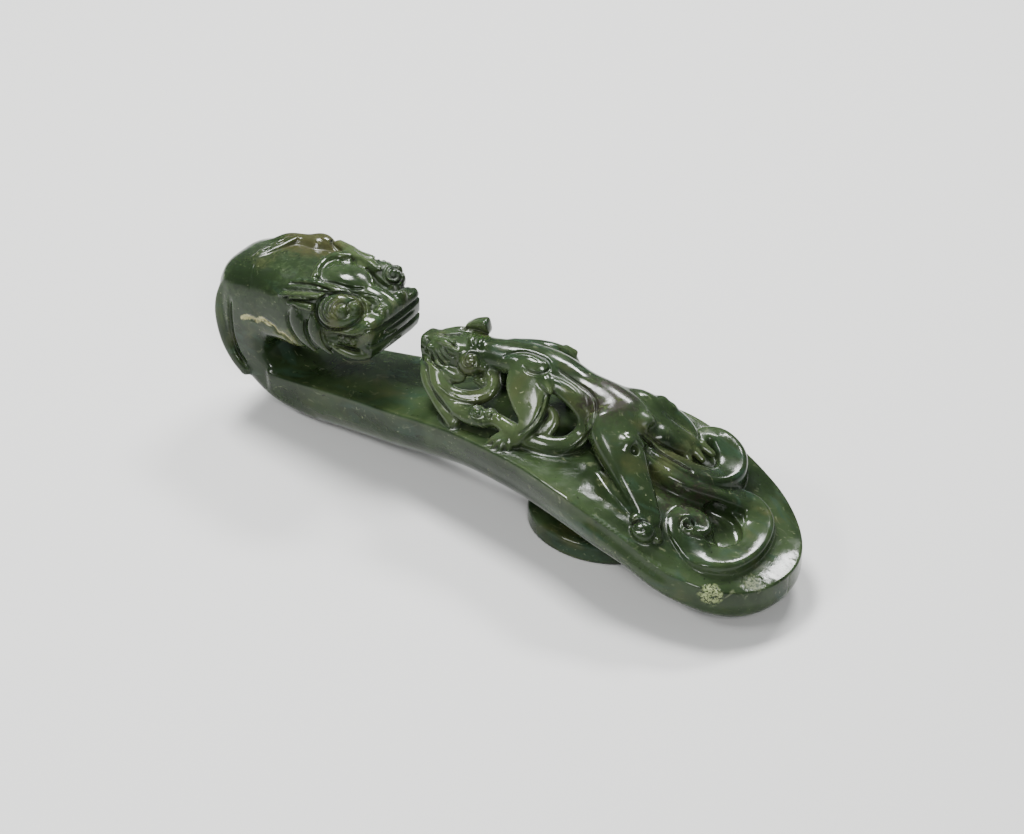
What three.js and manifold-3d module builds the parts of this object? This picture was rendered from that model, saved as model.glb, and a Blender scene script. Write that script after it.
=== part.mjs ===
// Jade belt hook: a bowed shaft that widens to a rounded paddle, an oval button under it, a dragon
// head that curls back over the narrow end as the hook, and a climbing chilong carved in high relief
// and openwork on top. The whole object is carved from one piece of jade, so it is one closed solid.
//
// Millimetres. The origin is the centre of the button's flat outer face, +X runs along the shaft to
// the paddle, +Z is up and the dragon head is at -X.
import * as THREE from 'three';
import { mergeVertices } from 'three/addons/utils/BufferGeometryUtils.js';
import Module from 'manifold-3d';

// Shaft
const paddleReach = 37.4; // button centre to the tip of the paddle
const neckReach = 74.6; // button centre to the back of the neck
const paddleWidth = 32.2;
const paddleRound = 19.2; // length of the paddle's rounded end
const beltWidth = 24.4; // width of the shaft beside the button, on the hook's side
const waistWidth = 18.4; // halfway between the button and the neck
const neckWidth = 15.2;
const crestHeight = 17.7; // highest point of the shaft's top face
const tipHeight = 7.6; // top face at the paddle's tip
const waistHeight = 13.0;
const throatFloor = 9.9; // top face under the dragon's jaw
const crestDepth = 9.5; // from the top face down to the belly
const tipDepth = 6.7;
const waistDepth = 11.0;
const topCrown = 0.5; // rise of the top face at its middle

// Button
const buttonLength = 23.8;
const buttonWidth = 17.9;
const buttonThickness = 3.6;
const buttonChamfer = 0.5;
const stemLength = 11;
const stemWidth = 9;

// Dragon head and neck
const headWidth = 17;
const headRise = 30; // forehead over the button's face
const snoutWidth = 13.6;
const snoutHeight = 7.2;
const snoutReach = 39.7; // lips to the button centre, along X
const lipCorner = 0.9;
const neckSides = 12;
const neckPower = 3; // how square the neck's outer half is: 2 is an ellipse
const throatPower = 8; // and its inner half, whose edges are crisp
const neckSteps = 2;
const gridLips = 39.7; // grid units from the button to the lips
const gridHeadWidth = 17; // grid units across the cheeks
const gridFloor = 9.9; // grid heights of the throat's floor and the forehead
const gridForehead = 30;

// Chilong: its forms are drawn on a grid that lies on the shaft's top face
const figureHeight = 12.5; // shoulders over the shaft's top face
const gridPaddle = 37.4; // grid units from the button to the paddle tip
const gridNeck = 74.6; // grid units from the button to the back of the neck
const gridWidth = 32.2; // grid units across the paddle
const gridHeight = 12.5; // grid units from the shaft to the shoulders
const reliefSink = 1.5; // how far a relief strand goes down into the shaft
const ringSpacing = 3.1; // between the rings of a strand
const reliefSpacing = 2.1; // the same where the strand winds into a spiral

const xAxis = new THREE.Vector3(1, 0, 0);
const yAxis = new THREE.Vector3(0, 1, 0);
const zAxis = new THREE.Vector3(0, 0, 1);

const wasm = await Module();
wasm.setup();

// A smooth curve through [position, value] rows that never overshoots them.
function curveThrough(rows) {
  const slopes = rows.map((row, i) => {
    if (i === 0 || i === rows.length - 1) return 0;
    const before = (row[1] - rows[i - 1][1]) / (row[0] - rows[i - 1][0]);
    const after = (rows[i + 1][1] - row[1]) / (rows[i + 1][0] - row[0]);
    return before * after <= 0 ? 0 : (2 * before * after) / (before + after);
  });
  return (x) => {
    if (x <= rows[0][0]) return rows[0][1];
    if (x >= rows[rows.length - 1][0]) return rows[rows.length - 1][1];
    const i = rows.findIndex((row) => row[0] > x) - 1;
    const span = rows[i + 1][0] - rows[i][0];
    const t = (x - rows[i][0]) / span;
    const a = (1 + 2 * t) * (1 - t) ** 2 * rows[i][1] + t * t * (3 - 2 * t) * rows[i + 1][1];
    return a + span * t * (1 - t) * ((1 - t) * slopes[i] - t * slopes[i + 1]);
  };
}

// Joins rings of points into a closed solid. Both ends are closed by a fan.
function loft(rings) {
  const sides = rings[0].length;
  const positions = rings.flat().flatMap((p) => [p.x, p.y, p.z]);
  const index = [];
  for (let i = 0; i + 1 < rings.length; i++) {
    for (let j = 0; j < sides; j++) {
      const a = i * sides + j;
      const b = i * sides + ((j + 1) % sides);
      index.push(a, b, a + sides, b, b + sides, a + sides);
    }
  }
  for (const [ring, first, flip] of [[rings[0], 0, true], [rings.at(-1), (rings.length - 1) * sides, false]]) {
    const centre = ring.reduce((sum, p) => sum.add(p), new THREE.Vector3()).divideScalar(sides);
    const hub = positions.push(centre.x, centre.y, centre.z) / 3 - 1;
    for (let j = 0; j < sides; j++) {
      const a = first + j;
      const b = first + ((j + 1) % sides);
      index.push(hub, flip ? b : a, flip ? a : b);
    }
  }
  const geometry = new THREE.BufferGeometry();
  geometry.setAttribute('position', new THREE.Float32BufferAttribute(positions, 3));
  geometry.setIndex(index);
  return solid(geometry);
}

const signedPower = (value, power) => Math.sign(value) * Math.abs(value) ** power;

// Turns a closed geometry into a solid for joining and cutting.
function solid(geometry) {
  const bare = geometry.clone();
  for (const name of ['normal', 'uv']) bare.deleteAttribute(name);
  const merged = mergeVertices(bare, 1e-4);
  const triangles = [];
  const all = merged.index.array;
  for (let i = 0; i < all.length; i += 3) {
    const [a, b, c] = all.slice(i, i + 3);
    if (a !== b && b !== c && c !== a) triangles.push(a, b, c);
  }
  const made = (corners) => new wasm.Manifold(new wasm.Mesh({
    numProp: 3,
    vertProperties: new Float32Array(merged.attributes.position.array),
    triVerts: new Uint32Array(corners),
  }));
  const first = made(triangles);
  return first.volume() > 0 ? first : made(triangles.toReversed());
}

// A strand of jade along a smooth path. Each row is [point, half width, half height]. The section
// is a superellipse of the given power and the ends are rounded. Its height points along `up`, or,
// where `side` is given, its width points along `side`.
function strand(rows, { up = zAxis, side = null, sides = 6, power = 2, spacing = ringSpacing, blunt = 0.8 } = {}) {
  const path = new THREE.CatmullRomCurve3(rows.map((row) => row[0]));
  const sizes = new THREE.CatmullRomCurve3(rows.map((row) => new THREE.Vector3(row[1], row[2], 0)));
  const count = Math.max(rows.length - 1, Math.ceil(path.getLength() / spacing));
  const rings = [];
  const addRing = (t, push, shrink) => {
    const tangent = path.getTangent(t);
    const across = side ? side.clone() : new THREE.Vector3().crossVectors(up, tangent).normalize();
    const lift = new THREE.Vector3().crossVectors(tangent, across).normalize();
    const size = sizes.getPoint(t);
    const centre = path.getPoint(t).addScaledVector(tangent, push);
    rings.push(Array.from({ length: sides }, (_, j) => {
      const angle = (2 * Math.PI * (j + 0.5)) / sides;
      const wide = size.x * shrink * signedPower(Math.cos(angle), 2 / power);
      const high = size.y * shrink * signedPower(Math.sin(angle), 2 / power);
      return centre.clone().addScaledVector(across, wide).addScaledVector(lift, high);
    }));
  };
  const tipLength = (row) => blunt * Math.min(row[1], row[2]);
  addRing(0, -tipLength(rows[0]), 0.45);
  for (let i = 0; i <= count; i++) addRing(i / count, 0, 1);
  addRing(1, tipLength(rows.at(-1)), 0.45);
  return loft(rings);
}

// A rounded lump: a stretched ball whose height points along `up`.
function lump(centre, [length, width, height], up = zAxis, sides = 7) {
  const ball = new THREE.SphereGeometry(1, sides, Math.round(sides * 0.6));
  ball.rotateX(Math.PI / 2);
  ball.scale(length, width, height);
  ball.applyQuaternion(new THREE.Quaternion().setFromUnitVectors(zAxis, up.clone().normalize()));
  ball.translate(centre.x, centre.y, centre.z);
  return solid(ball);
}

const join = (solids) => solids.reduce((all, next) => all.add(next));

// The shaft's outline seen from above, its bowed top face and its depth
const paddleStart = paddleReach - paddleRound;
const halfWidthAt = curveThrough([
  [-neckReach, neckWidth / 2],
  [-0.75 * neckReach, neckWidth / 2],
  [-0.45 * neckReach, waistWidth / 2],
  [-0.12 * neckReach, beltWidth / 2],
  [0.6 * paddleStart, paddleWidth / 2],
]);
const topHeightAt = curveThrough([
  [-neckReach, throatFloor - 0.2],
  [-0.84 * neckReach, throatFloor],
  [-0.54 * neckReach, waistHeight],
  [-0.24 * neckReach, 0.945 * crestHeight],
  [0.09 * paddleReach, crestHeight],
  [0.38 * paddleReach, 0.885 * crestHeight],
  [0.66 * paddleReach, tipHeight + 0.37 * (crestHeight - tipHeight)],
  [paddleReach, tipHeight],
]);
const restStation = -0.72 * neckReach; // the belly touches the ground here
const depthAt = curveThrough([
  [-0.86 * neckReach, 0.66 * topHeightAt(restStation)],
  [-0.8 * neckReach, 0.88 * topHeightAt(restStation)],
  [restStation, topHeightAt(restStation)],
  [-0.5 * neckReach, waistDepth],
  [0.05 * paddleReach, crestDepth],
  [paddleReach, tipDepth],
]);
const bellyPowerAt = curveThrough([[-neckReach, 2], [-0.3 * neckReach, 2.3], [0.2 * paddleReach, 4], [paddleReach, 5]]);

function shaft() {
  const topSteps = 6;
  const bellySteps = 10;
  const neckEnd = -0.82 * neckReach;
  const sectionAt = (x, width, round) => {
    const high = topHeightAt(x);
    const depth = depthAt(x);
    const power = bellyPowerAt(x);
    const ring = [];
    for (let i = 0; i < topSteps; i++) {
      const across = 1 - (2 * i) / topSteps;
      const crown = (topCrown * (1 - across * across) * width) / halfWidthAt(x);
      ring.push(new THREE.Vector3(x, across * width, high + crown));
    }
    for (let i = 0; i < bellySteps; i++) {
      const angle = (Math.PI * i) / bellySteps;
      const across = signedPower(Math.cos(angle), 2 / power);
      const inset = (1 - Math.abs(across)) * halfWidthAt(x) * round;
      ring.push(new THREE.Vector3(x - Math.min(inset, depth) * round, -across * width, high - depth * Math.sin(angle) ** (2 / power)));
    }
    return ring;
  };
  const rings = [];
  const straightSteps = 16;
  for (let i = 0; i <= straightSteps; i++) {
    const x = neckEnd + ((paddleStart - neckEnd) * i) / straightSteps;
    rings.push(sectionAt(x, halfWidthAt(x), 0));
  }
  const roundSteps = 9;
  for (let i = 1; i <= roundSteps; i++) {
    const angle = (0.5 * Math.PI * i) / roundSteps;
    const width = i === roundSteps ? 0 : halfWidthAt(paddleStart) * Math.cos(angle);
    rings.push(sectionAt(paddleStart + paddleRound * Math.sin(angle), width, Math.sin(angle) ** 2));
  }
  return loft(rings);
}

function button() {
  const sides = 30;
  const ring = (length, width, z) => Array.from({ length: sides }, (_, i) => {
    const angle = (2 * Math.PI * i) / sides;
    return new THREE.Vector3(0.5 * length * Math.cos(angle), 0.5 * width * Math.sin(angle), z);
  });
  const rim = 2 * buttonChamfer;
  const disc = loft([
    ring(buttonLength - rim, buttonWidth - rim, 0),
    ring(buttonLength, buttonWidth, buttonChamfer),
    ring(buttonLength, buttonWidth, buttonThickness - buttonChamfer),
    ring(buttonLength - rim, buttonWidth - rim, buttonThickness),
  ]);
  const stem = loft([
    ring(stemLength, stemWidth, 0.5 * buttonThickness),
    ring(stemLength, stemWidth, crestHeight - 0.5 * crestDepth),
  ]);
  return disc.add(stem);
}

// The dragon's forms are placed on a grid of its own: x runs from the neck's back to the lips, y is
// measured from the middle, and z runs from the throat's floor to the forehead.
const gridHead = gridNeck - gridLips;
const headLength = neckReach - snoutReach;
const onHead = (x, y, z) => new THREE.Vector3(
  -neckReach + ((x + gridNeck) * headLength) / gridHead,
  (y * headWidth) / gridHeadWidth,
  throatFloor + ((z - gridFloor) * (headRise - throatFloor)) / (gridForehead - gridFloor),
);
const nearAndFar = [-1, 1];
const slantNear = new THREE.Vector3(0, -0.75, 0.66); // outward from the chilong's near flank

// The neck rises from the shaft's narrow end and rolls over into the head. Each row is one slice
// between the throat and the outer side: [throat x, throat z, outer x, outer z, half width].
function neckAndHead() {
  const slices = [
    [-53.5, 8.6, -54.5, 1.6, 5.6],
    [-58.2, 10.0, -61.6, 2.2, 6.6],
    [-60.7, 11.2, -66.6, 5.0, 7.2],
    [-61.8, 12.7, -71.2, 9.6, 7.5],
    [-62.0, 13.8, -73.8, 14.6, 7.6],
    [-61.7, 14.9, -74.6, 20.4, 7.8],
    [-60.6, 15.6, -72.6, 26.0, 8.0],
    [-58.6, 16.0, -67.0, 29.2, 8.1],
    [-55.8, 16.5, -60.0, 30.0, 8.3],
    [-52.2, 17.6, -53.4, 30.0, 8.3],
    [-48.4, 19.2, -48.4, 29.2, 7.7],
    [-44.8, 20.4, -44.8, 27.8, 6.6],
    [-42.6, 21.4, -42.6, 26.8, 6.0],
  ];
  const curveOf = (pick) => new THREE.CatmullRomCurve3(slices.map(pick));
  const inner = curveOf(([x, z]) => onHead(x, 0, z));
  const outer = curveOf(([, , x, z]) => onHead(x, 0, z));
  const widths = curveOf((slice) => new THREE.Vector3((slice[4] * headWidth) / gridHeadWidth, 0, 0));
  const count = neckSteps * (slices.length - 1);
  return loft(Array.from({ length: count + 1 }, (_, i) => {
    const low = inner.getPoint(i / count);
    const high = outer.getPoint(i / count);
    const centre = low.clone().lerp(high, 0.5);
    const lift = high.clone().sub(centre);
    const width = widths.getPoint(i / count).x;
    return Array.from({ length: neckSides }, (_, j) => {
      const angle = (2 * Math.PI * (j + 0.5)) / neckSides;
      const power = Math.sin(angle) < 0 ? throatPower : neckPower;
      return centre.clone().addScaledVector(lift, signedPower(Math.sin(angle), 2 / power))
        .addScaledVector(yAxis, width * signedPower(Math.cos(angle), 2 / power));
    });
  }));
}

function snout() {
  const half = snoutWidth / 2;
  const low = onHead(-gridLips, 0, 20.9).z;
  const high = low + snoutHeight;
  const section = (x, width, under, over) => [
    [1, under + lipCorner], [1, over - lipCorner], [1 - lipCorner / half, over], [-1 + lipCorner / half, over],
    [-1, over - lipCorner], [-1, under + lipCorner], [-1 + lipCorner / half, under], [1 - lipCorner / half, under],
  ].map(([across, z]) => new THREE.Vector3(x, across * width, z));
  const box = loft([
    section(-snoutReach - 8, half + 0.9, low - 1.0, high - 1.2),
    section(-snoutReach - 3.5, half + 0.3, low - 0.4, high - 0.5),
    section(-snoutReach - 0.6, half, low, high),
    section(-snoutReach, half - 0.6, low + 0.6, high - 0.6),
  ]);
  const lipLines = [0.3, 0.52, 0.74].map((share) => {
    const z = low + share * snoutHeight;
    const ends = [-1.2, 1.2].map((across) => new THREE.Vector3(-snoutReach + 0.2, across * half, z));
    return strand([[ends[0], 0.5, 0.5], [ends[1], 0.5, 0.5]], { spacing: snoutWidth * 2 });
  });
  const mouthCorners = nearAndFar.map((s) => strand([
    [onHead(-39.6, s * 7.0, 24.4), 0.6, 0.6],
    [onHead(-43.4, s * 7.5, 23.6), 0.7, 0.8],
    [onHead(-47, s * 8.4, 22.6), 0.7, 0.9],
  ]));
  return box.subtract(join([...lipLines, ...mouthCorners]));
}

function dragonFace() {
  const parts = [
    lump(onHead(-50.6, 0, 29.0), [5, 3.6, 1.8], zAxis, 9),
    strand([
      [onHead(-46.5, 0, 28.8), 1.6, 1.2],
      [onHead(-43.5, 0, 28.4), 1.7, 1.3],
      [onHead(-41.2, 0, 27.8), 1.8, 1.2],
    ]),
  ];
  for (const s of nearAndFar) {
    const eyeUp = new THREE.Vector3(0.25, s * 0.75, 0.62);
    const brow = strand([
      [onHead(-44.0, s * 4.3, 29.4), 0.9, 1.0],
      [onHead(-49.0, s * 5.4, 29.9), 1.2, 1.2],
      [onHead(-53.0, s * 6.7, 29.7), 1.2, 1.1],
      [onHead(-57.4, s * 7.4, 29.6), 0.6, 0.8],
    ]);
    const underBrow = strand([
      [onHead(-50.0, s * 6.8, 28.6), 0.9, 0.9],
      [onHead(-54.0, s * 7.8, 28.3), 1.0, 1.0],
      [onHead(-58.4, s * 8.0, 27.8), 0.5, 0.7],
    ]);
    const maneLobes = [
      strand([
        [onHead(-55.4, s * 7.4, 26.6), 1.4, 1.5],
        [onHead(-55.8, s * 8.0, 23.5), 1.6, 1.9],
        [onHead(-53.8, s * 7.8, 20.2), 1.3, 1.5],
        [onHead(-50.8, s * 7.0, 18.2), 0.6, 0.8],
      ], { up: xAxis }),
      strand([
        [onHead(-51.0, s * 7.6, 26.0), 1.3, 1.4],
        [onHead(-51.0, s * 8.0, 23.2), 1.4, 1.7],
        [onHead(-49.0, s * 7.4, 20.0), 0.8, 1.0],
      ], { up: xAxis }),
    ];
    const upperLip = strand([
      [onHead(-49.2, s * 7.7, 24.4), 0.7, 0.7],
      [onHead(-45.6, s * 7.4, 24.9), 0.8, 0.7],
      [onHead(-42.0, s * 6.5, 25.2), 0.7, 0.7],
    ]);
    const lowerLip = strand([
      [onHead(-49.0, s * 7.0, 20.8), 0.8, 0.9],
      [onHead(-45.4, s * 6.9, 20.7), 0.9, 0.9],
      [onHead(-41.6, s * 6.0, 21.6), 0.8, 0.8],
    ]);
    parts.push(
      lump(onHead(-46.0, s * 6.2, 27.9), [3.9, 3.1, 2.0], eyeUp, 9),
      lump(onHead(-45.3, s * 6.5, 28.6), [1.5, 1.4, 1.5], eyeUp, 6),
      lump(onHead(-41.4, s * 2.4, 28.2), [1.4, 1.3, 1.1]),
      brow, underBrow, ...maneLobes, upperLip, lowerLip,
    );
  }
  return join(parts);
}

// The mane lies along the far side of the neck's top, and a rim runs down each edge of its back.
function mane() {
  const ridge = strand([
    [onHead(-69.4, 3.2, 27.4), 0.9, 1.1],
    [onHead(-66.0, 4.4, 28.9), 1.5, 1.3],
    [onHead(-62.0, 5.4, 29.3), 1.8, 1.5],
    [onHead(-58.6, 5.8, 28.9), 1.0, 1.0],
  ], { power: 2.4 });
  const rims = nearAndFar.map((s) => strand([
    [onHead(-72.6, s * 6.6, 22.0), 0.7, 0.7],
    [onHead(-72.6, s * 6.8, 16.5), 0.9, 0.8],
    [onHead(-70.6, s * 6.8, 11.2), 1.0, 0.9],
    [onHead(-67.2, s * 6.8, 8.2), 1.2, 1.1],
  ], { side: yAxis }));
  return join([ridge, ...rims]);
}

// A grid point of the chilong: x along the shaft, y across it and up from its top face.
function onShaft(x, y, up) {
  const along = x < 0 ? (x * neckReach) / gridNeck : (x * paddleReach) / gridPaddle;
  return new THREE.Vector3(along, (y * paddleWidth) / gridWidth, topHeightAt(along) + (up * figureHeight) / gridHeight);
}
const figureStrand = (rows, options) => strand(rows.map(([x, y, up, wide, high]) => [onShaft(x, y, up), wide, high]), options);

// A relief strand: flat-topped, with upright sides that go down into the shaft.
function relief(rows, options) {
  return figureStrand(rows.map(([x, y, up, wide]) => [x, y, (up - reliefSink) / 2, wide, (up + reliefSink) / 2]), {
    power: 3.6, sides: 8, blunt: 0.5, spacing: reliefSpacing, ...options,
  });
}

function chilongHead() {
  return join([
    figureStrand([
      [-32.3, -0.6, 8.2, 2.0, 3.0],
      [-30.2, -0.3, 8.7, 3.2, 3.2],
      [-26.6, 0.2, 9.0, 3.9, 3.0],
      [-22.6, 0.6, 9.2, 3.0, 2.6],
    ], { power: 2.8, sides: 10 }),
    figureStrand([[-28.2, 2.8, 11.2, 0.9, 0.8], [-26.0, 3.4, 12.0, 1.1, 1.2], [-23.6, 3.8, 12.3, 0.9, 1.4]]),
    figureStrand([[-28.4, -2.6, 10.6, 0.8, 0.7], [-26.2, -3.0, 10.9, 1.0, 0.9], [-24.2, -2.6, 11.2, 0.7, 0.7]]),
    lump(onShaft(-23.4, -0.6, 11.4), [1.6, 1.6, 1.0]),
    lump(onShaft(-31.6, -2.2, 10.4), [1.0, 0.8, 0.9]),
    lump(onShaft(-31.6, 1.2, 10.4), [1.0, 0.8, 0.9]),
  ]);
}

function chilongBody() {
  const spine = figureStrand([
    [-24.5, 0.4, 9.2, 2.6, 2.5],
    [-20.0, 1.0, 9.4, 2.9, 2.6],
    [-15.0, 2.0, 9.3, 3.5, 2.8],
    [-10.0, 2.6, 8.6, 3.8, 2.9],
    [-4.5, 2.6, 7.2, 3.5, 2.8],
    [1.0, 2.2, 6.4, 4.0, 3.2],
    [5.0, 1.4, 5.2, 4.4, 3.4],
    [8.2, 0.4, 3.8, 2.8, 2.4],
  ], { sides: 10 });
  const farHaunch = figureStrand([
    [0.8, 4.4, 4.6, 2.6, 3.6], [4.4, 6.2, 3.6, 3.0, 4.0], [7.6, 7.8, 2.4, 2.2, 3.0],
  ], { sides: 8 });
  return spine.add(farHaunch);
}

function legs() {
  const nearForeleg = figureStrand([
    [-12.4, -0.4, 9.4, 3.8, 2.0],
    [-10.9, -2.6, 7.7, 4.1, 1.6],
    [-9.6, -5.0, 5.2, 3.3, 1.4],
    [-9.2, -7.0, 2.9, 2.0, 1.3],
    [-10.4, -8.7, 0.9, 1.5, 1.1],
  ], { up: slantNear, sides: 8 });
  const toes = [-1, 0, 1].map((toe) => figureStrand([
    [-10.8, -8.4, 1.1, 0.9, 0.9],
    [-12.0 + 1.6 * toe, -10.2 - 0.3 * Math.abs(toe), 0.3, 0.7, 0.6],
  ]));
  const farForeleg = figureStrand([
    [-18.4, 3.0, 9.6, 2.4, 2.0],
    [-14.8, 6.0, 9.2, 2.3, 1.6],
    [-12.0, 8.0, 8.2, 1.7, 1.3],
    [-10.8, 8.8, 6.2, 1.4, 1.3],
    [-11.2, 9.6, 3.0, 1.6, 1.5],
    [-12.4, 10.0, 0.8, 1.6, 1.2],
  ], { up: new THREE.Vector3(0.3, 0.9, 0.3), sides: 8 });
  const nearHindLeg = figureStrand([
    [3.2, -0.8, 5.4, 4.2, 3.4],
    [7.0, -3.4, 3.8, 4.0, 3.2],
    [11.0, -5.9, 2.2, 3.1, 2.4],
    [14.8, -8.3, 1.2, 2.4, 1.8],
    [18.2, -10.7, 0.7, 1.8, 1.3],
  ], { sides: 10 });
  const farHindLeg = figureStrand([
    [3.6, 6.0, 4.4, 3.0, 3.2],
    [7.4, 8.6, 3.2, 2.5, 2.5],
    [10.6, 9.4, 2.2, 2.0, 2.0],
    [12.8, 8.4, 1.4, 1.6, 1.7],
    [12.9, 6.4, 0.9, 1.3, 1.4],
  ], { sides: 8 });
  const nearFoot = lump(onShaft(18.1, -12.5, 0.8), [2.0, 2.0, 1.4], zAxis, 9);
  const nearTendon = figureStrand([[6.4, -7.4, 0, 0.7, 0.8], [10.6, -8.8, 0.1, 0.9, 0.8], [15.2, -10.6, 0.1, 0.6, 0.7]]);
  return join([nearForeleg, ...toes, farForeleg, nearHindLeg, farHindLeg, nearFoot, nearTendon]);
}

// The openwork: strands of mane and cloud between the body and the shaft, with holes between them.
function openwork() {
  const ring = (s, reach) => figureStrand([
    [-9.4, s * 0.6, 8.6, 1.3, 1.6],
    [-5.5, s * 0.8, 7.8, 1.7, 1.5],
    [-2.6, s * 1.0, 6.2, 1.8, 1.5],
    [-1.2, s * 1.4, 4.4, 1.7, 1.5],
    [-1.2, s * 2.6 * reach, 2.6, 1.6, 1.4],
    [-2.2, s * 4.6 * reach, 1.3, 1.6, 1.4],
    [-4.4, s * 6.2 * reach, 0.9, 1.6, 1.4],
    [-8.4, s * 7.2 * reach, 1.2, 1.4, 1.2],
  ], { up: new THREE.Vector3(0, s * 0.75, 0.66), sides: 8 });
  const leaf = figureStrand([
    [-6.4, -2.6, 4.4, 0.9, 0.8], [-6.4, -3.8, 3.2, 1.4, 0.9], [-7.0, -5.6, 1.9, 1.6, 1.0],
  ], { up: slantNear });
  const beard = figureStrand([
    [-31.9, -2.2, 7.0, 1.5, 1.4],
    [-29.9, -4.4, 5.1, 1.5, 1.1],
    [-27.2, -6.2, 3.1, 1.3, 1.0],
    [-24.5, -7.3, 1.6, 1.2, 1.0],
    [-21.8, -8.6, 0.5, 1.1, 0.9],
  ], { up: slantNear });
  const loop = figureStrand([
    [-29.0, -3.8, 7.6, 1.5, 1.2],
    [-26.8, -5.8, 5.3, 1.5, 1.1],
    [-24.2, -6.1, 4.1, 1.4, 1.0],
    [-22.0, -5.4, 3.9, 1.4, 1.0],
    [-19.9, -4.0, 4.2, 1.5, 1.1],
    [-18.9, -2.2, 5.2, 1.5, 1.2],
    [-19.8, -1.0, 6.6, 1.6, 1.4],
    [-21.8, -0.8, 7.8, 1.5, 1.4],
  ], { up: slantNear, sides: 8 });
  const lowerStrand = figureStrand([
    [-26.2, -5.9, 3.8, 1.0, 1.0],
    [-22.6, -7.3, 2.6, 1.3, 1.1],
    [-19.5, -7.6, 2.4, 1.6, 1.3],
    [-17.0, -7.3, 2.5, 1.6, 1.3],
    [-15.0, -6.8, 2.6, 1.3, 1.1],
    [-12.4, -7.3, 2.3, 1.3, 1.1],
    [-10.0, -7.6, 2.2, 1.3, 1.1],
  ], { up: slantNear });
  const link = figureStrand([[-16.8, -5.8, 3.0, 1.2, 1.1], [-17.8, -3.9, 4.3, 1.3, 1.1], [-19.0, -2.4, 5.4, 1.2, 1.1]], { up: slantNear });
  const farStrut = figureStrand([[-22.0, 2.6, 7.4, 1.4, 1.6], [-22.4, 5.0, 4.0, 1.4, 1.6], [-21.4, 6.4, 0.6, 1.5, 1.5]], { up: xAxis });
  const knobs = [
    [-24.4, -2.6, 8.0, 1.6], [-22.6, -1.8, 8.0, 1.4], [-20.8, -2.6, 6.2, 1.4],
    [-20.6, -7.9, 3.0, 1.3], [-18.2, -8.0, 3.1, 1.4],
  ].map(([x, y, up, size]) => lump(onShaft(x, y, up), [size, size, 0.9 * size], slantNear, 6));
  return join([ring(-1, 1), ring(1, 1.3), leaf, beard, loop, lowerStrand, link, farStrut, ...knobs]);
}

// The tail parts in two: one end curls on the paddle's far side, the other runs out in an S and
// winds into a spiral on the near side.
function tails() {
  const far = relief([
    [9.6, 0.4, 4.6, 1.5],
    [13.0, 1.6, 3.7, 1.7],
    [16.6, 2.8, 3.2, 1.9],
    [19.4, 5.2, 3.0, 2.3],
    [20.2, 8.6, 3.0, 2.6],
    [18.4, 11.8, 3.0, 2.5],
    [15.2, 12.8, 2.9, 2.2],
    [13.2, 11.4, 2.7, 1.7],
    [13.6, 9.6, 2.5, 1.3],
  ]);
  const near = relief([
    [8.6, -1.0, 4.4, 1.3],
    [11.4, -0.9, 3.6, 1.4],
    [14.9, -0.6, 3.2, 1.6],
    [18.6, 1.2, 3.1, 1.9],
    [22.4, 4.0, 3.0, 2.2],
    [26.2, 5.6, 3.0, 2.3],
    [29.6, 3.4, 3.0, 2.5],
    [31.0, -1.8, 3.0, 2.8],
    [30.4, -6.9, 3.0, 3.1],
    [27.2, -9.7, 3.0, 3.4],
    [23.8, -9.6, 3.0, 3.2],
    [21.6, -7.4, 3.0, 2.0],
    [21.9, -4.8, 2.9, 1.6],
    [23.6, -4.6, 2.8, 1.2],
    [24.0, -6.2, 2.7, 0.9],
  ]);
  return far.add(near);
}

const hook = join([
  shaft(), button(), neckAndHead(), snout(), dragonFace(), mane(),
  chilongHead(), chilongBody(), legs(), openwork(), tails(),
]);

function geometryOf(made) {
  const mesh = made.getMesh();
  const geometry = new THREE.BufferGeometry();
  geometry.setAttribute('position', new THREE.Float32BufferAttribute(mesh.vertProperties, 3));
  geometry.setIndex(Array.from(mesh.triVerts));
  geometry.computeVertexNormals();
  return geometry;
}

const jade = new THREE.MeshStandardMaterial({ color: 0x3f5a3c, roughness: 0.22, metalness: 0 });
const beltHook = new THREE.Mesh(geometryOf(hook), jade);
beltHook.name = 'belt_hook';

const group = new THREE.Group();
group.add(beltHook);
export default group;
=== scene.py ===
"""The finished look of a carved jade belt hook, built on the CAD frame.

The carving is one piece of jade, so it is one mesh here too. Its forms are modelled like clay in a
distance field: each form is swept or turned as a closed mesh, melted into the field with a soft
joint, and then the fine lines are engraved. The field becomes the mesh `carved_jade`, which stands
for the CAD node `belt_hook`. Forms are drawn in millimetres, in the frame's own axes.
"""
import math

import bmesh
import bpy
import numpy as np
import openvdb
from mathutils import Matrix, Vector


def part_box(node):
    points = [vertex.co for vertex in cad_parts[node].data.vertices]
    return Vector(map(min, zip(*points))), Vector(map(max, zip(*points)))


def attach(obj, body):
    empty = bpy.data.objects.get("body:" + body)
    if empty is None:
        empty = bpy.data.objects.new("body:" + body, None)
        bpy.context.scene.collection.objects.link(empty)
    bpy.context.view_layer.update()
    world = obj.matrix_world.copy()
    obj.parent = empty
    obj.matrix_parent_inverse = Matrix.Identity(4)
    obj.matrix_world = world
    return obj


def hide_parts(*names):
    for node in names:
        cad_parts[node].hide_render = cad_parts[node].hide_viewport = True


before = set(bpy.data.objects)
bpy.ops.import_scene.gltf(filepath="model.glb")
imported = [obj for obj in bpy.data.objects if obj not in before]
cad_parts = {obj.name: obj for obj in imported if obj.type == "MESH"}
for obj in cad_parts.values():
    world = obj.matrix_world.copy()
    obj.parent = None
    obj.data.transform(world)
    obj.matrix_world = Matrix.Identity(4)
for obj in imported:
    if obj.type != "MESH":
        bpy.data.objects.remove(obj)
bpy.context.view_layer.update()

MM = 0.001
DRAWN_LOW = np.array([-74.5, -16.1, 0.0])  # the box that the forms below are drawn in
DRAWN_HIGH = np.array([37.4, 16.1, 31.1])
VOXEL = 0.2  # size of a cell of the field
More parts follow.
